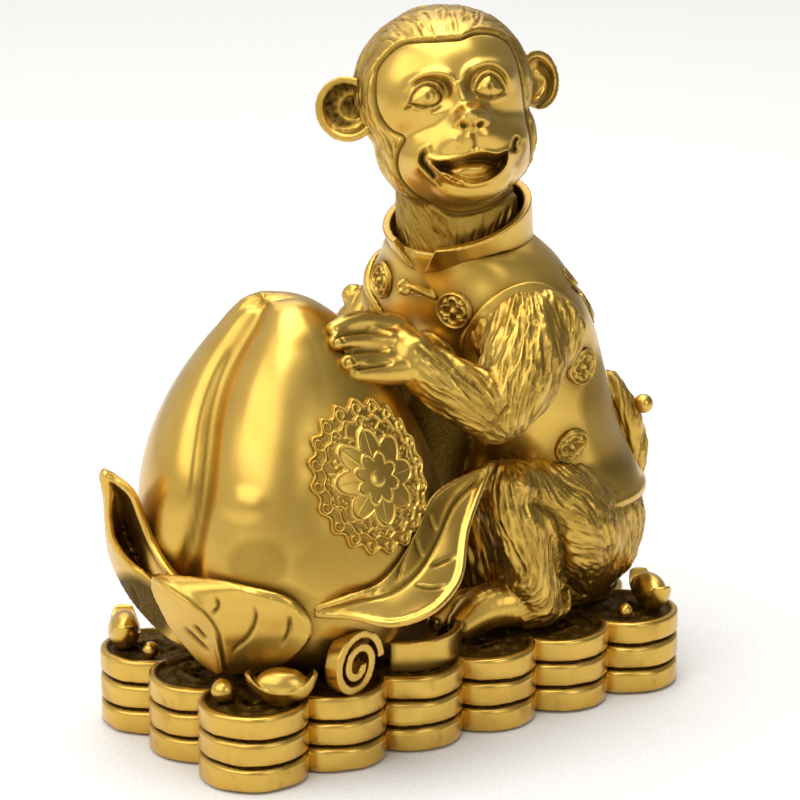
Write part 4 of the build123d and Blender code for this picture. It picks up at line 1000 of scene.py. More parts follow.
class ORNAMENT_OT_trunk(bpy.types.Operator):
    """Models the vest, its trimmings and the furry seat"""
    bl_idname = "ornament.trunk"
    bl_label = "Trunk"

    hair = (((560, 520), (0.2, 1)), ((620, 520), (0.2, 1)), ((640, 560), (-0.2, 1)), ((600, 600), (0, 1)))
    # Lumps of the belly: pixel with its distance from the camera, and radii in millimetres
    belly = (((430, 438, 852), (9, 9, 25)), ((400, 389, 846), (5, 5, 6)))
    # Flare of the skirt away from an upright axis, and the roll along its hem, in millimetres
    flare_axis = (43, 5, 0)
    flare_top = 66.0
    flare_drop = 21.6
    flare_reach = 2.2
    roll_height = 46.5
    roll_reach = 0.5
    # Swell of the shoulder: pixel, half sizes in pixels, way in the picture and height in millimetres
    shoulder = ((550, 245), 45, 50, (0.7, -0.7), 1.6)
    # Patches of painted shade, between the peach and the vest, under the forearm and on the right side:
    # pixel, half sizes in pixels, tilt in degrees and strength
    shade_patches = (((424, 425), 60, 95, 0, 0.85), ((478, 432), 62, 26, 18, 0.5), ((612, 415), 36, 78, -8, 0.55))
    # Step of the collar across the picture, in millimetres
    collar_shift = 1.0
    # Toggle and two loops of cord: pixels and radii in millimetres
    cords = (
        ((409, 286, 0.8), (421, 291, 1.1), (434, 297, 0.8)),
        ((410, 287, 0.6), (404, 281, 0.7), (400, 284, 0.7), (409, 288, 0.6)),
        ((410, 288, 0.6), (406, 293, 0.7), (401, 291, 0.7), (408, 287, 0.6)))
    cord_sink = 0.7
    # Roundels: middle of the trunk that they face away from, then sizes in millimetres
    trunk_middle = (35, 5)
    roundel_radius = 4.75
    roundel_relief = 0.9
    roundel_sink = 0.25

    def execute(self, context):
        sizes = context.scene.figure_sizes
        self.vest()
        for name in ("vest_collar", "armhole_left", "armhole_right"):
            clay = Clay(from_node(name), 0.35, 6)
            if name == "vest_collar":
                clay.spots += ACROSS * self.collar_shift
            clay.patina(0.4, 0.6, 10)
            clay.finish(name + "_cast", name)
        self.frog()
        self.roundels()
        clay = Clay(from_node("trunk_seat"), sizes.skin / MM, 4)
        clay.fur(self.hair, fur_sizes(sizes), 700, None, 17)
        clay.finish("seat_fur", "trunk_seat")
        return {"FINISHED"}

    def vest(self):
        """Fills the belly of the vest and flares its skirt to a rolled hem."""
        bm = from_node("vest")
        for pixel, radii in self.belly:
            add_ball(bm, spot_at(*pixel), radii)
        clay = Clay(bm, 0.7, 8)
        flare = np.clip((self.flare_top - clay.spots[:, 2]) / self.flare_drop, 0, 1) ** 1.3
        away = clay.spots - np.array(self.flare_axis)
        away[:, 2] = 0
        clay.push(self.flare_reach * flare, away / (np.linalg.norm(away, axis=1)[:, None] + 1e-9))
        clay.push(self.roll_reach * np.exp(-((clay.spots[:, 2] - self.roll_height) / 1.0) ** 2))
        clay.swell(*self.shoulder)
        # painted shade: darkens the vest where the peach and the arm shade it
        for tone in self.shade_patches:
            clay.tone(*tone)
        clay.patina(0.8, 0.4, 10)
        clay.finish("vest_cloth", "vest")

    def frog(self):
        """Lays a toggle and two loops of cord on the CAD toggle."""
        bm = from_node("vest_frog")
        depth = picture(np.array([v.co for v in bm.verts]))[1].min() + self.cord_sink
        for cord in self.cords:
            add_limb(bm, [(spot_at(u, v, depth), radius) for u, v, radius in cord])
        clay = Clay(bm, 0.22, 3)
        clay.patina(0.3, 0.8, 8)
        clay.finish("vest_frog_cast", "vest_frog")

    def roundels(self):
        """Raises a quatrefoil on the outer face of each roundel."""
        clay = Clay(from_node("vest_roundels"), 0.28, 2)
        island = clay.islands()
        normals = clay.normals()
        for key in np.unique(island):
            own = np.flatnonzero(island == key)
            centre = clay.spots[own].mean(0)
            away = clay.spots[own] - centre
            axis = np.linalg.svd(away, full_matrices=False)[2][2]
            if axis @ (centre - np.array((*self.trunk_middle, centre[2]))) < 0:
                axis = -axis
            level = np.cross((0, 0, 1), axis)
            level /= np.linalg.norm(level)
            upward = np.cross(axis, level)
            lines = quatrefoil(away @ level, away @ upward, self.roundel_radius)
            front = np.clip(normals[own] @ axis * 2 - 0.6, 0, 1)
            raised = front * (self.roundel_relief * lines - self.roundel_sink)
            clay.spots[own] += axis * raised[:, None]
            clay.dark[own] = front * np.clip(0.85 - 1.4 * lines, 0, 1) * 0.8
        clay.finish("vest_roundels_cast", "vest_roundels")


# Head: its middle in millimetres and how it is turned
HEAD_PLACE = np.array((16.735, 2.0, 141.77))
HEAD_TURN = (
    Matrix.Rotation(math.radians(-21), 3, "Z")
    @ Matrix.Rotation(math.radians(-10), 3, "X")
    @ Matrix.Rotation(math.radians(-7), 3, "Y")
)


class ORNAMENT_OT_head(bpy.types.Operator):
    """Models the head with its face, hair and ears"""
    bl_idname = "ornament.head"
    bl_label = "Head"

    most_triangles = 190000
    # Lumps of the head: place and radii in millimetres, in the head's own frame, where it faces -Y
    lumps = (
        ((0, 1.2, 4.7), (20.6, 20.6, 18.8)),
        ((0.6, -1.0, -8.5), (18.6, 17.2, 14.8)),
        ((0, -10.0, -9.0), (15.5, 10.2, 9.8)),
        ((0, -14.5, -5.5), (9.0, 7.0, 5.6)),
        ((0, -12.0, -16.5), (9.5, 7.0, 5.5)),
        ((0, -12.5, 6.0), (14.5, 7.0, 8.0)),
        ((0, -18.6, -1.9), (5.0, 3.6, 3.6)),
    )
    # Neck: places and radii in millimetres
    neck = (((22.5, 5, 106), 14.2), ((21.8, 4.6, 115), 14.2), ((19.5, 3.5, 126), 13))
    # Curves of the face in pixels of the photograph
    hairline = (
        (448.5, 39), (434, 40), (418, 40.5), (405, 42), (386, 55), (376, 69), (373.5, 86), (376, 110),
        (383, 124), (392, 133), (403, 139), (398, 148.5), (395, 161), (398, 176), (409, 191), (427, 203.5),
        (450, 214), (480, 212), (505, 199), (516, 190), (526, 178), (531, 165), (533, 150), (532, 136),
        (529, 122), (526, 105), (524, 86), (521, 69), (516, 54), (507, 40), (493, 33), (473, 33), (460, 38))
    mouth = (
        (425, 157), (433, 161), (447, 161), (461, 158), (474.5, 154), (485, 153), (496, 154.5), (507, 152),
        (506, 164), (497.5, 174), (485, 181), (470, 183.5), (455, 179.5), (442.5, 172.5), (433, 164))
    upper_lip = (
        (424, 155), (433, 159.5), (447, 159.5), (461, 156.5), (474.5, 152.5), (485, 151.5), (496, 153),
        (508, 150))
    lower_lip = (
        (430, 164), (441, 174.5), (454, 181.5), (470, 185.5), (486, 183), (499, 175.5), (508, 165),
        (509.5, 154))
    # Opening of the mouth: middle and half sizes of the part worked on in pixels, depth in millimetres
    mouth_middle = (466, 168)
    mouth_half = (60, 34)
    mouth_depth = 5.5
    # Tongue: middle, half sizes and slope in pixels, height in millimetres
    tongue_middle = (468, 172.5)
    tongue_half = (29, 12)
    tongue_slope = 0.14
    tongue_height = 4.2
    # Part of the nose that is smoothed, and its nostrils as pixels and tilts in degrees
    bridge_middle = (463, 102)
    bridge_half = (13, 16)
    nostrils = (((463.3, 125.5), 25), ((480.3, 124.3), -30))
    pupils = ((428, 96), (490, 86))
    # Patches of the face: pixel, half sizes in pixels, height in millimetres, tilt, fall and darkness
    patches = (
        # sockets of the eyes and their inner corners
        ((433, 92), 27, 22, -2.0, -8, 1.5, 0.0), ((486, 83), 25, 21, -2.0, -8, 1.5, 0.0),
        ((445, 89), 9, 14, -0.7, 0, 1.5, 0.55), ((469, 80), 7, 16, -0.6, 0, 1.5, 0.55),
        # muzzle, cheek and chin
        ((458, 143), 21, 15, 0.9, -8, 1.5, 0.0), ((492, 138), 18, 15, 0.9, -8, 1.5, 0.0),
        ((404, 118), 24, 26, 0.6, 0, 1.5, 0.0), ((466, 201), 36, 15, 0.8, -8, 1.5, 0.0),
        # tip and wings of the nose
        ((471.5, 116), 18, 15, 1.5, -8, 1.5, 0.0), ((460.5, 123), 8, 7, 0.7, 0, 1.5, 0.0),
        ((484.5, 121), 7.5, 7, 0.7, 0, 1.5, 0.0),
    )
    # Eyes: upper and lower edge of the opening
    eyes = (
        (((409, 103), (413, 94), (418.5, 88), (427, 85), (435.5, 88), (442, 97)),
         ((441, 100.5), (436, 105), (427, 107), (418, 106), (411.5, 104.5))),
        (((474.5, 91), (478.5, 83), (483.5, 77), (490.5, 74.5), (498, 80), (504, 91)),
         ((500, 95), (490, 97), (482, 95.5), (475.5, 92.5))),
    )
    # Strokes of the face: pixels, width and height in millimetres, and darkness
    strokes = (
        # brows, run down into the bridge of the nose
        (((403, 92), (411, 81), (422, 75.5), (436, 72.5), (447, 75), (453, 82), (456, 90)), 1.0, 0.7, 0.0),
        (((463.5, 85), (464.5, 78), (468.5, 70.5), (478, 64.5), (491, 62.5), (503, 69), (511, 81), (514, 92)),
         1.0, 0.7, 0.0),
        # lids
        (((405, 106), (409.5, 97), (417, 86.5), (427, 82), (437.5, 85), (444.5, 95)), 0.5, 0.75, 0.0),
        (((409, 106), (418, 109), (427, 110), (437, 108), (443, 103)), 0.45, 0.45, 0.0),
        (((472, 91), (476.5, 81.5), (482, 74), (490.5, 71.5), (500, 77), (507, 92)), 0.5, 0.75, 0.0),
        (((474, 96), (482, 98.5), (490, 100), (500, 98), (507, 95)), 0.45, 0.45, 0.0),
        (((404, 110), (408, 107.5), (412, 106.5)), 0.4, -0.35, 0.8),
        (((430, 112.5), (436.5, 109.5), (442, 105)), 0.45, -0.3, 0.6),
        # folds above the lids
        (((411, 88), (418.5, 81.5), (428, 78.5), (438, 80), (447, 88), (449, 97)), 0.6, -0.5, 0.6),
        (((470, 84), (474, 74.5), (481.5, 69), (491, 67), (501, 72.5), (508, 84)), 0.6, -0.5, 0.6),
        # nose
        (((455, 80), (458, 91), (462, 101), (467, 110), (471, 118)), 2.0, 0.95, 0.0),
        (((456.5, 128), (457.5, 121), (463.5, 118.5), (469.5, 121.5), (470.5, 128)), 0.5, 0.4, 0.0),
        (((474, 127.5), (475, 121), (480.5, 117.5), (486, 120), (487.5, 126)), 0.5, 0.4, 0.0),
        (((471.5, 118), (472, 124), (473, 131)), 0.5, -0.4, 0.25),
        (((473, 131), (474.5, 138), (475.5, 149)), 0.5, -0.6, 0.6),
        # corners of the mouth and the folds of the smile
        (((428.5, 150), (423, 154), (421.5, 160), (426, 167), (432, 174), (436, 182)), 0.75, -1.3, 1.0),
        (((436, 180), (442, 187)), 0.5, -0.5, 0.6),
        (((519, 136), (515.5, 141), (514.5, 147), (516.5, 153)), 0.65, -1.2, 1.0),
        (((504, 154), (509.5, 150.5), (514.5, 147)), 0.5, -0.6, 0.8),
        (((522, 139), (524, 147), (521, 158), (514, 169)), 0.7, -0.6, 0.45),
        (((433, 146), (425, 147), (418, 153), (416.5, 163), (421, 173)), 1.0, 0.5, 0.0),
        (((452, 133), (461, 146), (474, 150), (487, 145)), 0.8, 0.3, 0.0),
    )
    hair = (
        ((448, 30), (0, -1)), ((448, 12), (0.1, -1)), ((420, 28), (-0.35, -1)), ((400, 34), (-0.7, -0.9)),
        ((385, 40), (-1, -0.5)), ((368, 60), (-1, 0.35)), ((362, 85), (-0.7, 0.8)), ((370, 120), (0.1, 1)),
        ((378, 145), (0.35, 1)), ((385, 175), (0.35, 1)), ((400, 200), (0.6, 0.8)), ((475, 20), (0.35, -1)),
        ((500, 25), (0.8, -0.5)), ((520, 45), (0.8, 0.7)), ((530, 80), (0.3, 1)), ((536, 140), (-0.1, 1)),
        ((530, 180), (-0.5, 0.9)), ((390, 155), (0.2, 1)), ((410, 20), (-0.6, -0.8)),
    )
    # Locks of the head: width, length and depth in millimetres
    locks = (1.4, 8.0, 0.3)
    # Fine cuts over them: how many, then length, width and depth in millimetres
    fine_cuts = (1300, 4.5, 0.32, 0.5)
    # Step of the hair above the face, and the groove along it, in millimetres
    hair_step = 0.6
    hair_groove = 0.55
    # Height in millimetres below which the neck is darkened with painted shade under the chin
    neck_shade_height = 127
    # Right ear: root and growth, then middle and half sizes of its bowl and of the ridge in it, in pixels
    ear_root = (362, 124)
    ear_growth = 1.1
    ear_bowl = ((344, 105), (22.0, 24.0))
    ear_ridge = ((353, 107), (22.0, 22.0))
    # Left ear: how far it is lowered in millimetres, and its groove and ridge in pixels
    left_ear_drop = 0.8
    left_ear_groove = ((541, 65), (548, 71), (550, 85), (547, 99), (540, 106))
    left_ear_ridge = ((538, 73), (543, 79), (544, 89), (539, 98))

    def execute(self, context):
        bm = bmesh.new()
        for place, radii in self.lumps:
            spot = HEAD_TURN @ Vector(place) + Vector(HEAD_PLACE)
            add_ball(bm, spot, radii, HEAD_TURN)
        add_limb(bm, self.neck)
        clay = Clay(bm, 0.3, 6)
        clay.soften(96)
        self.face(clay)
        self.cut_hair(clay)
        piece = clay.finish("monkey_head", "head")
        thin = piece.modifiers.new("Thin", "DECIMATE")
        thin.ratio = min(1.0, self.most_triangles / (2 * len(piece.data.polygons)))
        self.right_ear()
        self.left_ear()
        return {"FINISHED"}

    def face(self, clay):
        """Models the patches of the face, the eyes, the mouth, the strokes and the nostrils."""
        for patch in self.patches:
            clay.dab(*patch)
        for upper, lower in self.eyes:
            self.eye(clay, smooth_path((*upper, *lower, upper[0]), 60))
        self.open_mouth(clay)
        for points, width, height, dark in self.strokes:
            clay.carve(points, width, height, dark, 0.15, True)
        away = (clay.pixels() - self.bridge_middle) / self.bridge_half
        bridge = np.exp(-(np.linalg.norm(away, axis=1)) ** 2)
        clay.relax(25, bridge * (clay.normals() @ BACK > 0))
        for pixel, tilt in self.nostrils:
            clay.dab(pixel, 4.6, 3.0, -1.2, tilt, 0.9, 0.75)
        for pixel in self.pupils:
            clay.dab(pixel, 6.5, 7.5, 0.3, 0, 0.5)
            clay.dab(pixel, 2.6, 4.0, -0.35, 0, 0.8, 0.6)

    def open_mouth(self, clay):
        """Sinks the mouth, lays the tongue in it and draws the lips round it."""
        path = smooth_path((*self.mouth, self.mouth[0]), 90)
        spots = clay.pixels()
        facing = clay.normals() @ BACK > 0.05
        near = np.flatnonzero(facing & (np.abs(spots - self.mouth_middle) < self.mouth_half).all(1))
        u, v = spots[near].T
        gap = path_distance(spots[near], path)[0]
        inside = inside_path(spots[near], path)
        deep = np.where(inside, np.clip(gap / 6, 0, 1) ** 0.6, 0)
        clay.spots[near] -= BACK * (deep * self.mouth_depth)[:, None]
        clay.dark[near] = np.where(inside, np.clip(gap / 3, 0, 1) * 0.7, 0)
        slope = self.tongue_slope * (u - self.mouth_middle[0])
        x = (u - self.tongue_middle[0]) / self.tongue_half[0]
        y = (v - self.tongue_middle[1] + slope) / self.tongue_half[1]
        tongue = np.where(inside, np.clip(1 - x * x - y * y, 0, 1) ** 0.5, 0)
        bumps = 0.5 * noise(np.stack((u / 9, v / 6, 0 * x), 1), 4)
        clay.spots[near] += BACK * (tongue * (self.tongue_height + bumps))[:, None]
        clay.dark[near] = np.clip(clay.dark[near] - tongue * 0.65, 0, 1)
        close = np.zeros(len(clay.spots))
        close[near] = np.exp(-(gap / 7) ** 2)
        clay.relax(6, close)
        clay.carve(self.upper_lip, 0.6, 0.6, straight=True)
        clay.carve(self.lower_lip, 0.65, 0.9, straight=True)
        clay.relax(4, close)

    def eye(self, clay, path):
        """Raises the ball of an eye inside its lids and darkens the line between them."""
        spots = clay.pixels()
        box = np.abs(spots - path.mean(0)) < 26
        near = np.flatnonzero(box.all(1) & (clay.normals() @ BACK > 0))
        gap = path_distance(spots[near], path)[0]
        inside = inside_path(spots[near], path)
        ball = np.where(inside, np.clip(gap / 9, 0, 1) ** 0.5 * 1.9, 0)
        clay.spots[near] += BACK * ball[:, None]
        edge = np.exp(-((gap - np.where(inside, 0.8, 0)) / 1.2) ** 2)
        clay.dark[near] = np.maximum(clay.dark[near], edge * 0.8)

    def cut_hair(self, clay):
        """Steps the hair up from the face along the hairline and cuts its locks."""
        path = smooth_path((*self.hairline, self.hairline[0]), 150)
        spots = clay.pixels()
        normals = clay.normals()
        front = normals @ BACK
        gap = path_distance(spots, path)[0]
        inside = inside_path(spots, path) & (front > -0.1)
        signed = np.where(inside, -gap, gap)
        seen = np.clip((front + 0.1) * 4, 0, 1)
        # the step is lower on the right of the picture
        lower = 1 - 0.4 * np.clip((spots[:, 0] - 500) / 20, 0, 1)
        step = self.hair_step * np.clip(signed / 2.5 + 0.4, 0, 1) * lower
        groove = -self.hair_groove * np.exp(-((signed + 0.8) / 1.4) ** 2) * seen
        clay.spots += normals * (step + groove)[:, None]
        clay.dark = np.maximum(clay.dark, 0.85 * np.exp(-((signed + 0.9) / 1.4) ** 2) * seen)
        share = np.clip((signed + 0.4) / 1.6, 0, 1)
        # painted shade on the neck under the chin
        under = np.clip((self.neck_shade_height - clay.spots[:, 2]) / 4, 0, 1)
        clay.dark = np.maximum(clay.dark, 0.45 * under)
        clay.fur(self.hair, self.locks, 400, share, 11)
        clay.chase(self.hair, *self.fine_cuts, share, 12)

    def right_ear(self):
        """Enlarges the CAD ear and models a ridge and pits in its bowl."""
        clay = Clay(from_node("right_ear"), 0.3, 5)
        root = spot_at(*self.ear_root, picture(clay.spots)[1].mean())
        clay.spots = root + (clay.spots - root) * self.ear_growth
        spots = clay.pixels()
        places = (self.ear_bowl, self.ear_ridge)
        away, lobe = (np.hypot(*((spots - middle) / half).T) for middle, half in places)
        bowl = (clay.normals() @ BACK > 0.1) & (away < 1.05)
        ridge = np.exp(-((lobe - 0.62) / 0.13) ** 2)
        pits = noise(clay.spots / 0.9, 6)
        clay.push(np.where(bowl, 0.55 * ridge + 0.12 * pits, 0))
        shade = np.clip(0.85 - 0.5 * ridge - 0.2 * pits, 0, 1) * np.clip((1.05 - away) * 5, 0, 1)
        clay.dark = np.where(bowl, shade, 0)
        clay.finish("right_ear_cast", "right_ear")

    def left_ear(self):
        """Lowers the CAD ear and draws its groove and ridge."""
        clay = Clay(from_node("left_ear"), 0.3, 5)
        clay.spots -= UPWARD * self.left_ear_drop
        clay.carve(self.left_ear_groove, 0.8, -0.6, 0.85)
        clay.carve(self.left_ear_ridge, 0.8, 0.7)
        clay.patina(0.35, 0.9, 14)
        clay.finish("left_ear_cast", "left_ear")


class ORNAMENT_OT_limbs(bpy.types.Operator):
    """Models the arms, legs and tail with their fur"""
    bl_idname = "ornament.limbs"
    bl_label = "Arms, legs and tail"

    # Left arm: places and radii in millimetres
    upper_arm = (((25.2, -17.0, 91.0), 11.2), ((20.2, -23.4, 84.5), 10.2), ((12.4, -25.3, 76.8), 8.6))
    forearm = (((10.8, -25.1, 76.1), 8.2), ((2.4, -21.9, 81.6), 7.2), ((-5.2, -16.8, 88.0), 6.0))
    # Hand and toes: pixels, distances from the camera and radii in millimetres
    palm = ((424, 371, 824, 6.0), (406, 354, 824, 6.2), (393, 343, 825, 5.6))
    fingers = (
        ((396, 327, 825, 3.0), (372, 321, 821, 2.5), (350, 322, 817, 2.3), (334, 329, 814, 1.9)),
        ((392, 341, 821.5, 3.0), (362, 340, 817.5, 2.6), (337, 342, 812, 2.1)),
        ((390, 357, 820.5, 3.0), (366, 358.5, 816.5, 2.6), (348, 362.5, 811.5, 2.2)),
        ((406, 367, 822, 4.2), (382, 371, 818, 3.3), (355, 373, 813, 2.2)),
    )
    toes = (
        ((522, 602, 856, 6.0), (500, 603, 854, 6.0), (480, 611, 852.5, 5.4), (464, 624, 851, 4.2)),
        ((490, 600, 858, 4.2), (458, 606, 856.5, 3.4), (438, 621, 854.5, 2.7)),
    )
    arm_hair = (
        ((530, 300), (0, 1)), ((545, 320), (0.1, 1)), ((520, 345), (-0.15, 1)), ((545, 350), (-0.1, 1)),
        ((500, 345), (-0.25, 1)), ((560, 340), (0.05, 1)), ((515, 385), (-0.25, 1)), ((530, 380), (-0.5, 1)),
        ((505, 405), (-0.3, 1)), ((490, 415), (0.8, 0.9)), ((475, 400), (0.9, 0.8)),
        ((455, 385), (0.9, 0.75)), ((435, 370), (0.9, 0.7)), ((440, 395), (1, 0.6)),
        ((465, 420), (1, 0.45)), ((480, 380), (0.6, 0.9)),
    )
    leg_hair = (
        ((510, 480), (0.1, 1)), ((500, 510), (0.15, 1)), ((482, 520), (0.0, 1)), ((482, 550), (0.0, 1)),
        ((520, 500), (0.25, 1)), ((520, 530), (0.5, 1)), ((535, 552), (0.45, 1)), ((550, 583), (0.3, 1)),
        ((540, 470), (-0.1, 1)), ((556, 478), (0.5, 0.9)), ((573, 484), (1, 0.45)), ((596, 499), (1, 0.8)),
        ((619, 522), (0.6, 1)), ((626, 552), (0.2, 1)), ((573, 522), (1, 0.3)), ((581, 545), (1, 0.25)),
        ((596, 552), (1, 0.5)), ((596, 583), (0.3, 1)), ((611, 568), (0.5, 1)), ((585, 600), (0.15, 1)),
        ((527, 606), (-1, 0.3)), ((512, 604), (-1, 0.3)), ((540, 617), (-1, 0.1)), ((555, 605), (-0.3, 1)),
    )
    back_hair = (((0, 400), (0.05, 1)), ((400, 300), (0.1, 1)), ((700, 500), (-0.1, 1)), ((500, 700), (0, 1)))
    tail_hair = (
        ((630, 400), (0.1, 1)), ((640, 430), (0.15, 1)), ((638, 470), (-0.1, 1)), ((630, 500), (-0.2, 1)))
    # Grooves between the fingers, outlines of nails, and creases of the elbow and leg, in pixels
    finger_lines = (
        ((392, 334), (370, 330.5), (347, 333), (328, 338)), ((390, 350), (364, 349.5), (342, 353)),
        ((394, 363), (372, 366), (350, 370)), ((390, 314), (362, 310), (342, 316)))
    nails = (
        ((333, 345), (334, 339), (341, 338), (344, 342)), ((345, 366), (346, 360), (353, 359), (355, 363)))
    toenails = (
        ((453, 630), (454, 624), (459, 622), (464, 625), (464, 630)),
        ((431, 624), (434, 619), (439, 621), (438, 627)))
    elbow_crease = ((506, 408), (500, 418), (492, 428))
    leg_crease = ((536, 504), (549, 510), (557, 518), (562, 537), (564.5, 568), (567, 600))
    # Patches of the leg: pixel, half sizes in pixels, height in millimetres, tilt in degrees and fall
    leg_patches = (
        ((518, 480), 30, 26, 1.6, 0, 1.5), ((600, 530), 40, 60, 1.5, 0, 1.5),
        ((620, 468), 30, 24, -4.0, 0, 1.5), ((459, 628), 6, 6, 0.5, 0, 0.5))
    # Where the CAD foot is cut off before the toes, and which way they point
    heel = (512, 606, 855)
    toe_tip = (462, 628, 852)
    # Left shoulder: place and radii in millimetres, and turn
    shoulder_place = (25.0, -19.0, 90.1)
    shoulder_radii = (13.6, 5.2, 11.6)
    shoulder_turn = math.radians(-30)
    # Right shoulder: radii, how far it stands out of its armhole, and the middle of the trunk behind it
    right_shoulder_radii = (13.2, 5.0, 11.4)
    right_shoulder_out = 1.2
    trunk_middle = (34, 5)
    # Round lump on the right arm: place and radii in millimetres
    right_lump = ((12.9, 34.6, 89.9), (2.9, 2.9, 2.9))

    def execute(self, context):
        hair = fur_sizes(context.scene.figure_sizes)
        self.left_arm(hair)
        self.right_arm(hair)
        self.left_leg(hair)
        self.right_leg(hair)
        clay = Clay(from_node("tail"), 0.4, 4)
        clay.fur(self.tail_hair, hair, 160, None, 45)
        clay.finish("tail_cast", "tail")
        clay = Clay(from_node("tail_bead"), 0.25, 3)
        clay.finish("tail_bead_cast", "tail_bead")
        return {"FINISHED"}

    def left_arm(self, hair):
        """Models the arm that shows in full, with its hand on the peach."""
        bm = bmesh.new()
        add_limb(bm, self.upper_arm)
        add_limb(bm, self.forearm)
        turned = Matrix.Rotation(self.shoulder_turn, 3, "Z")
        add_ball(bm, self.shoulder_place, self.shoulder_radii, turned)
        for chain in (self.palm, *self.fingers):
            add_chain(bm, chain)
        clay = Clay(bm, 0.4, 8)
        clay.soften(3)
        for line in self.finger_lines:
            clay.carve(line, 0.5, -0.9, 0.85, 0.2)
        for nail in self.nails:
            clay.carve(nail, 0.3, -0.35, 0.8)
        clay.carve(self.elbow_crease, 0.9, -0.9, 0.6)
        # the hand is bare
        share = np.clip((clay.pixels()[:, 0] - 412) / 16, 0, 1)
        clay.fur(self.arm_hair, hair, 1000, share, 7)
        clay.patina(0.5, 0.6, 14)
        clay.finish("left_arm_cast", "left_arm")

    def right_arm(self, hair):
        """Fills the right armhole with a shoulder and cuts the fur of the arm."""
        bm = from_node("right_arm")
        rim = np.array([v.co for v in NODES["armhole_right"].data.vertices]) / MM
        middle = rim.mean(0)
        out = np.linalg.svd(rim - middle, full_matrices=False)[2][2]
        out *= np.sign(out @ (middle - np.array((*self.trunk_middle, middle[2]))))
        turned = Matrix.Rotation(math.atan2(out[1], out[0]) - math.pi / 2, 3, "Z")
        add_ball(bm, middle + out * self.right_shoulder_out, self.right_shoulder_radii, turned)
        add_ball(bm, *self.right_lump)
        clay = Clay(bm, 0.5, 5)
        share = np.clip((clay.spots[:, 0] + 19) / 6, 0, 1)
        clay.fur(self.back_hair, hair, 400, share, 41)
        clay.finish("right_arm_cast", "right_arm")

    def left_leg(self, hair):
        """Models the toes of the CAD leg, its crease and its fur."""
        bm = from_node("left_leg")
        heel = spot_at(*self.heel)
        way = spot_at(*self.toe_tip) - heel
        made = bmesh.ops.bisect_plane(
            bm, geom=bm.verts[:] + bm.edges[:] + bm.faces[:], plane_co=heel, plane_no=way, clear_outer=True)
        rim = [item for item in made["geom_cut"] if isinstance(item, bmesh.types.BMEdge)]
        bmesh.ops.holes_fill(bm, edges=rim)
        for chain in self.toes:
            add_chain(bm, chain)
        clay = Clay(bm, 0.42, 8)
        clay.carve(self.leg_crease, 3.0, -1.6)
        clay.carve(self.leg_crease, 0.9, -1.2, 0.8)
        for patch in self.leg_patches:
            clay.dab(*patch)
        for nail in self.toenails:
            clay.carve(nail, 0.35, -0.4, 0.9)
        # the toes are bare
        spots = clay.pixels()
        furry = np.clip((spots[:, 0] - 514) / 14, 0, 1) + np.clip((588 - spots[:, 1]) / 8, 0, 1)
        clay.fur(self.leg_hair, hair, 1700, np.clip(furry, 0, 1), 9)
        clay.patina(0.6, 0.6, 14)
        clay.finish("left_leg_cast", "left_leg")

    def right_leg(self, hair):
        """Cuts the fur of the far leg, which stops at the foot."""
        clay = Clay(from_node("right_leg"), 0.5, 5)
        share = np.clip(np.maximum((clay.spots[:, 0] - 14) / 5, (clay.spots[:, 2] - 34) / 4), 0, 1)
        clay.fur(self.back_hair, hair, 600, share, 43)
        clay.finish("right_leg_cast", "right_leg")


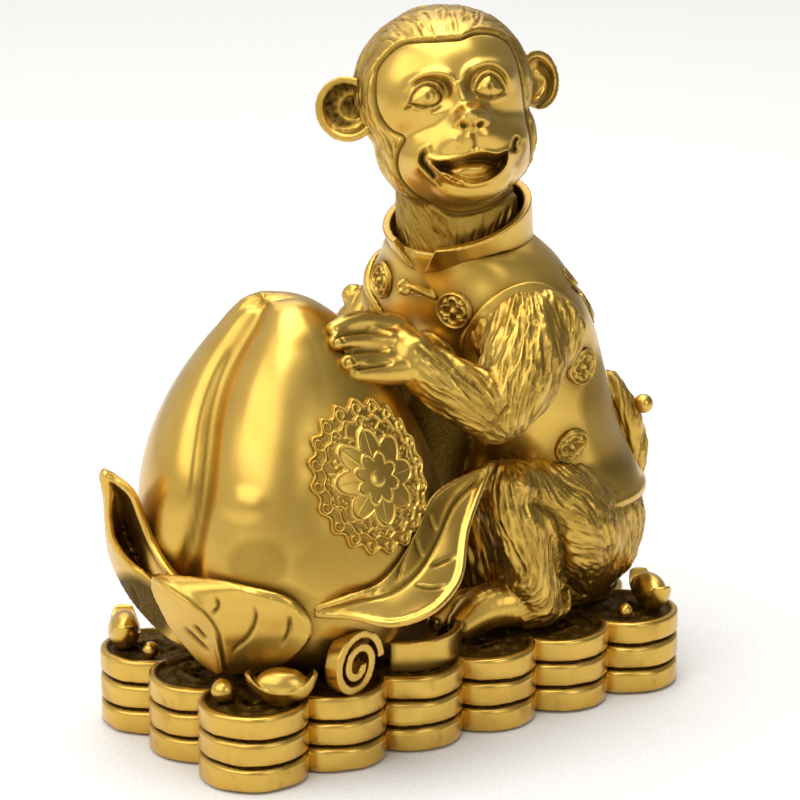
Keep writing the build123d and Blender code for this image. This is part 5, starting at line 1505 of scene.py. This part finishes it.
class ORNAMENT_OT_seams(bpy.types.Operator):
    """Darkens each piece where another lies close ahead of its surface: patina left where pieces meet, and
    painted shade where they shade each other
    """
    bl_idname = "ornament.seams"
    bl_label = "Seams"

    # How far the darkening reaches from another piece in millimetres, and how dark it is; it is patina and
    # painted shade together
    reach = 1.2
    strength = 0.85
    # Cells of space that the pieces are sorted into: side in millimetres, and steps between their numbers
    cell = 4.0
    strides = np.array((1, 4096, 4096 * 4096))

    def cells(self, spots):
        """Number of the cell of space that each spot lies in."""
        return np.floor(spots / self.cell).astype(np.int64) @ self.strides

    def spread(self, mesh, seam_patina_and_shade):
        """Softens the edge of the patina and painted shade."""
        pairs = np.empty(len(mesh.edges) * 2, np.int32)
        mesh.edges.foreach_get("vertices", pairs)
        a, b = pairs.reshape(-1, 2).T
        count = len(seam_patina_and_shade)
        links = np.maximum(np.bincount(pairs, minlength=count), 1)
        for step in range(4):
            seam_patina_and_shade = (np.bincount(a, seam_patina_and_shade[b], count) + np.bincount(b, seam_patina_and_shade[a], count)) / links
        return seam_patina_and_shade

    def execute(self, context):
        meshes = [item for item in bpy.data.objects if item.type == "MESH"]
        pieces = [item for item in meshes if "patina" in item.data.attributes]
        clouds = []
        facings = []
        trees = []
        blocks = []
        sides = (-1, 0, 1)
        around = np.array([(i, j, k) for i in sides for j in sides for k in sides]) @ self.strides
        for piece in pieces:
            flat = np.empty(len(piece.data.vertices) * 3, np.float32)
            piece.data.vertices.foreach_get("co", flat)
            spots = flat.reshape(-1, 3).astype(float) / MM
            piece.data.vertices.foreach_get("normal", flat)
            clouds.append(spots)
            facings.append(flat.reshape(-1, 3).astype(float))
            trees.append(point_tree(spots))
            blocks.append(np.unique(np.unique(self.cells(spots))[:, None] + around))
        for i, piece in enumerate(pieces):
            seam_patina_and_shade = np.zeros(len(clouds[i]))
            home = self.cells(clouds[i])
            for j, tree in enumerate(trees):
                if i == j:
                    continue
                near = np.flatnonzero(np.isin(home, blocks[j]))
                if not len(near):
                    continue
                hits = [tree.find(spot) for spot in clouds[i][near]]
                found = np.array([hit[2] for hit in hits])
                ways = np.array([hit[0][:] for hit in hits]) - clouds[i][near]
                ahead = np.clip((ways * facings[i][near]).sum(1) / (found + 0.1) + 0.6, 0, 1)
                seam_patina_and_shade[near] = np.maximum(seam_patina_and_shade[near], ahead * np.exp(-found / self.reach))
            layer = piece.data.attributes["patina"].data
            dark = np.empty(len(seam_patina_and_shade), np.float32)
            layer.foreach_get("value", dark)
            seam_patina_and_shade = self.spread(piece.data, seam_patina_and_shade)
            # the patina layer takes the patina and painted shade where pieces meet
            layer.foreach_set("value", np.maximum(dark, self.strength * seam_patina_and_shade).astype(np.float32))
        return {"FINISHED"}


class ORNAMENT_PT_panel(bpy.types.Panel):
    """Shows the sizes, the colours and the steps of the ornament"""
    bl_idname = "ORNAMENT_PT_panel"
    bl_label = "Ornament"
    bl_space_type = "VIEW_3D"
    bl_region_type = "UI"
    bl_category = "Ornament"

    def draw(self, context):
        for group in (context.scene.figure_sizes, context.scene.figure_colours):
            for name in group.__annotations__:
                self.layout.prop(group, name)
        for step in STEPS:
            self.layout.operator(step.bl_idname)


STEPS = (
    ORNAMENT_OT_stage,
    ORNAMENT_OT_underside,
    ORNAMENT_OT_coins,
    ORNAMENT_OT_treasures,
    ORNAMENT_OT_peach,
    ORNAMENT_OT_leaves,
    ORNAMENT_OT_trunk,
    ORNAMENT_OT_head,
    ORNAMENT_OT_limbs,
    ORNAMENT_OT_seams,
)
CLASSES = (FigureSizes, FigureColours, *STEPS, ORNAMENT_PT_panel)


def register():
    for item in CLASSES:
        bpy.utils.register_class(item)
    bpy.types.Scene.figure_sizes = PointerProperty(type=FigureSizes)
    bpy.types.Scene.figure_colours = PointerProperty(type=FigureColours)


def unregister():
    del bpy.types.Scene.figure_colours
    del bpy.types.Scene.figure_sizes
    for item in reversed(CLASSES):
        bpy.utils.unregister_class(item)


def main():
    register()
    bpy.ops.ornament.stage()
    bpy.ops.ornament.underside()
    bpy.ops.ornament.coins()
    bpy.ops.ornament.treasures()
    bpy.ops.ornament.peach()
    bpy.ops.ornament.leaves()
    bpy.ops.ornament.trunk()
    bpy.ops.ornament.head()
    bpy.ops.ornament.limbs()
    bpy.ops.ornament.seams()


if __name__ == "__main__":
    main()
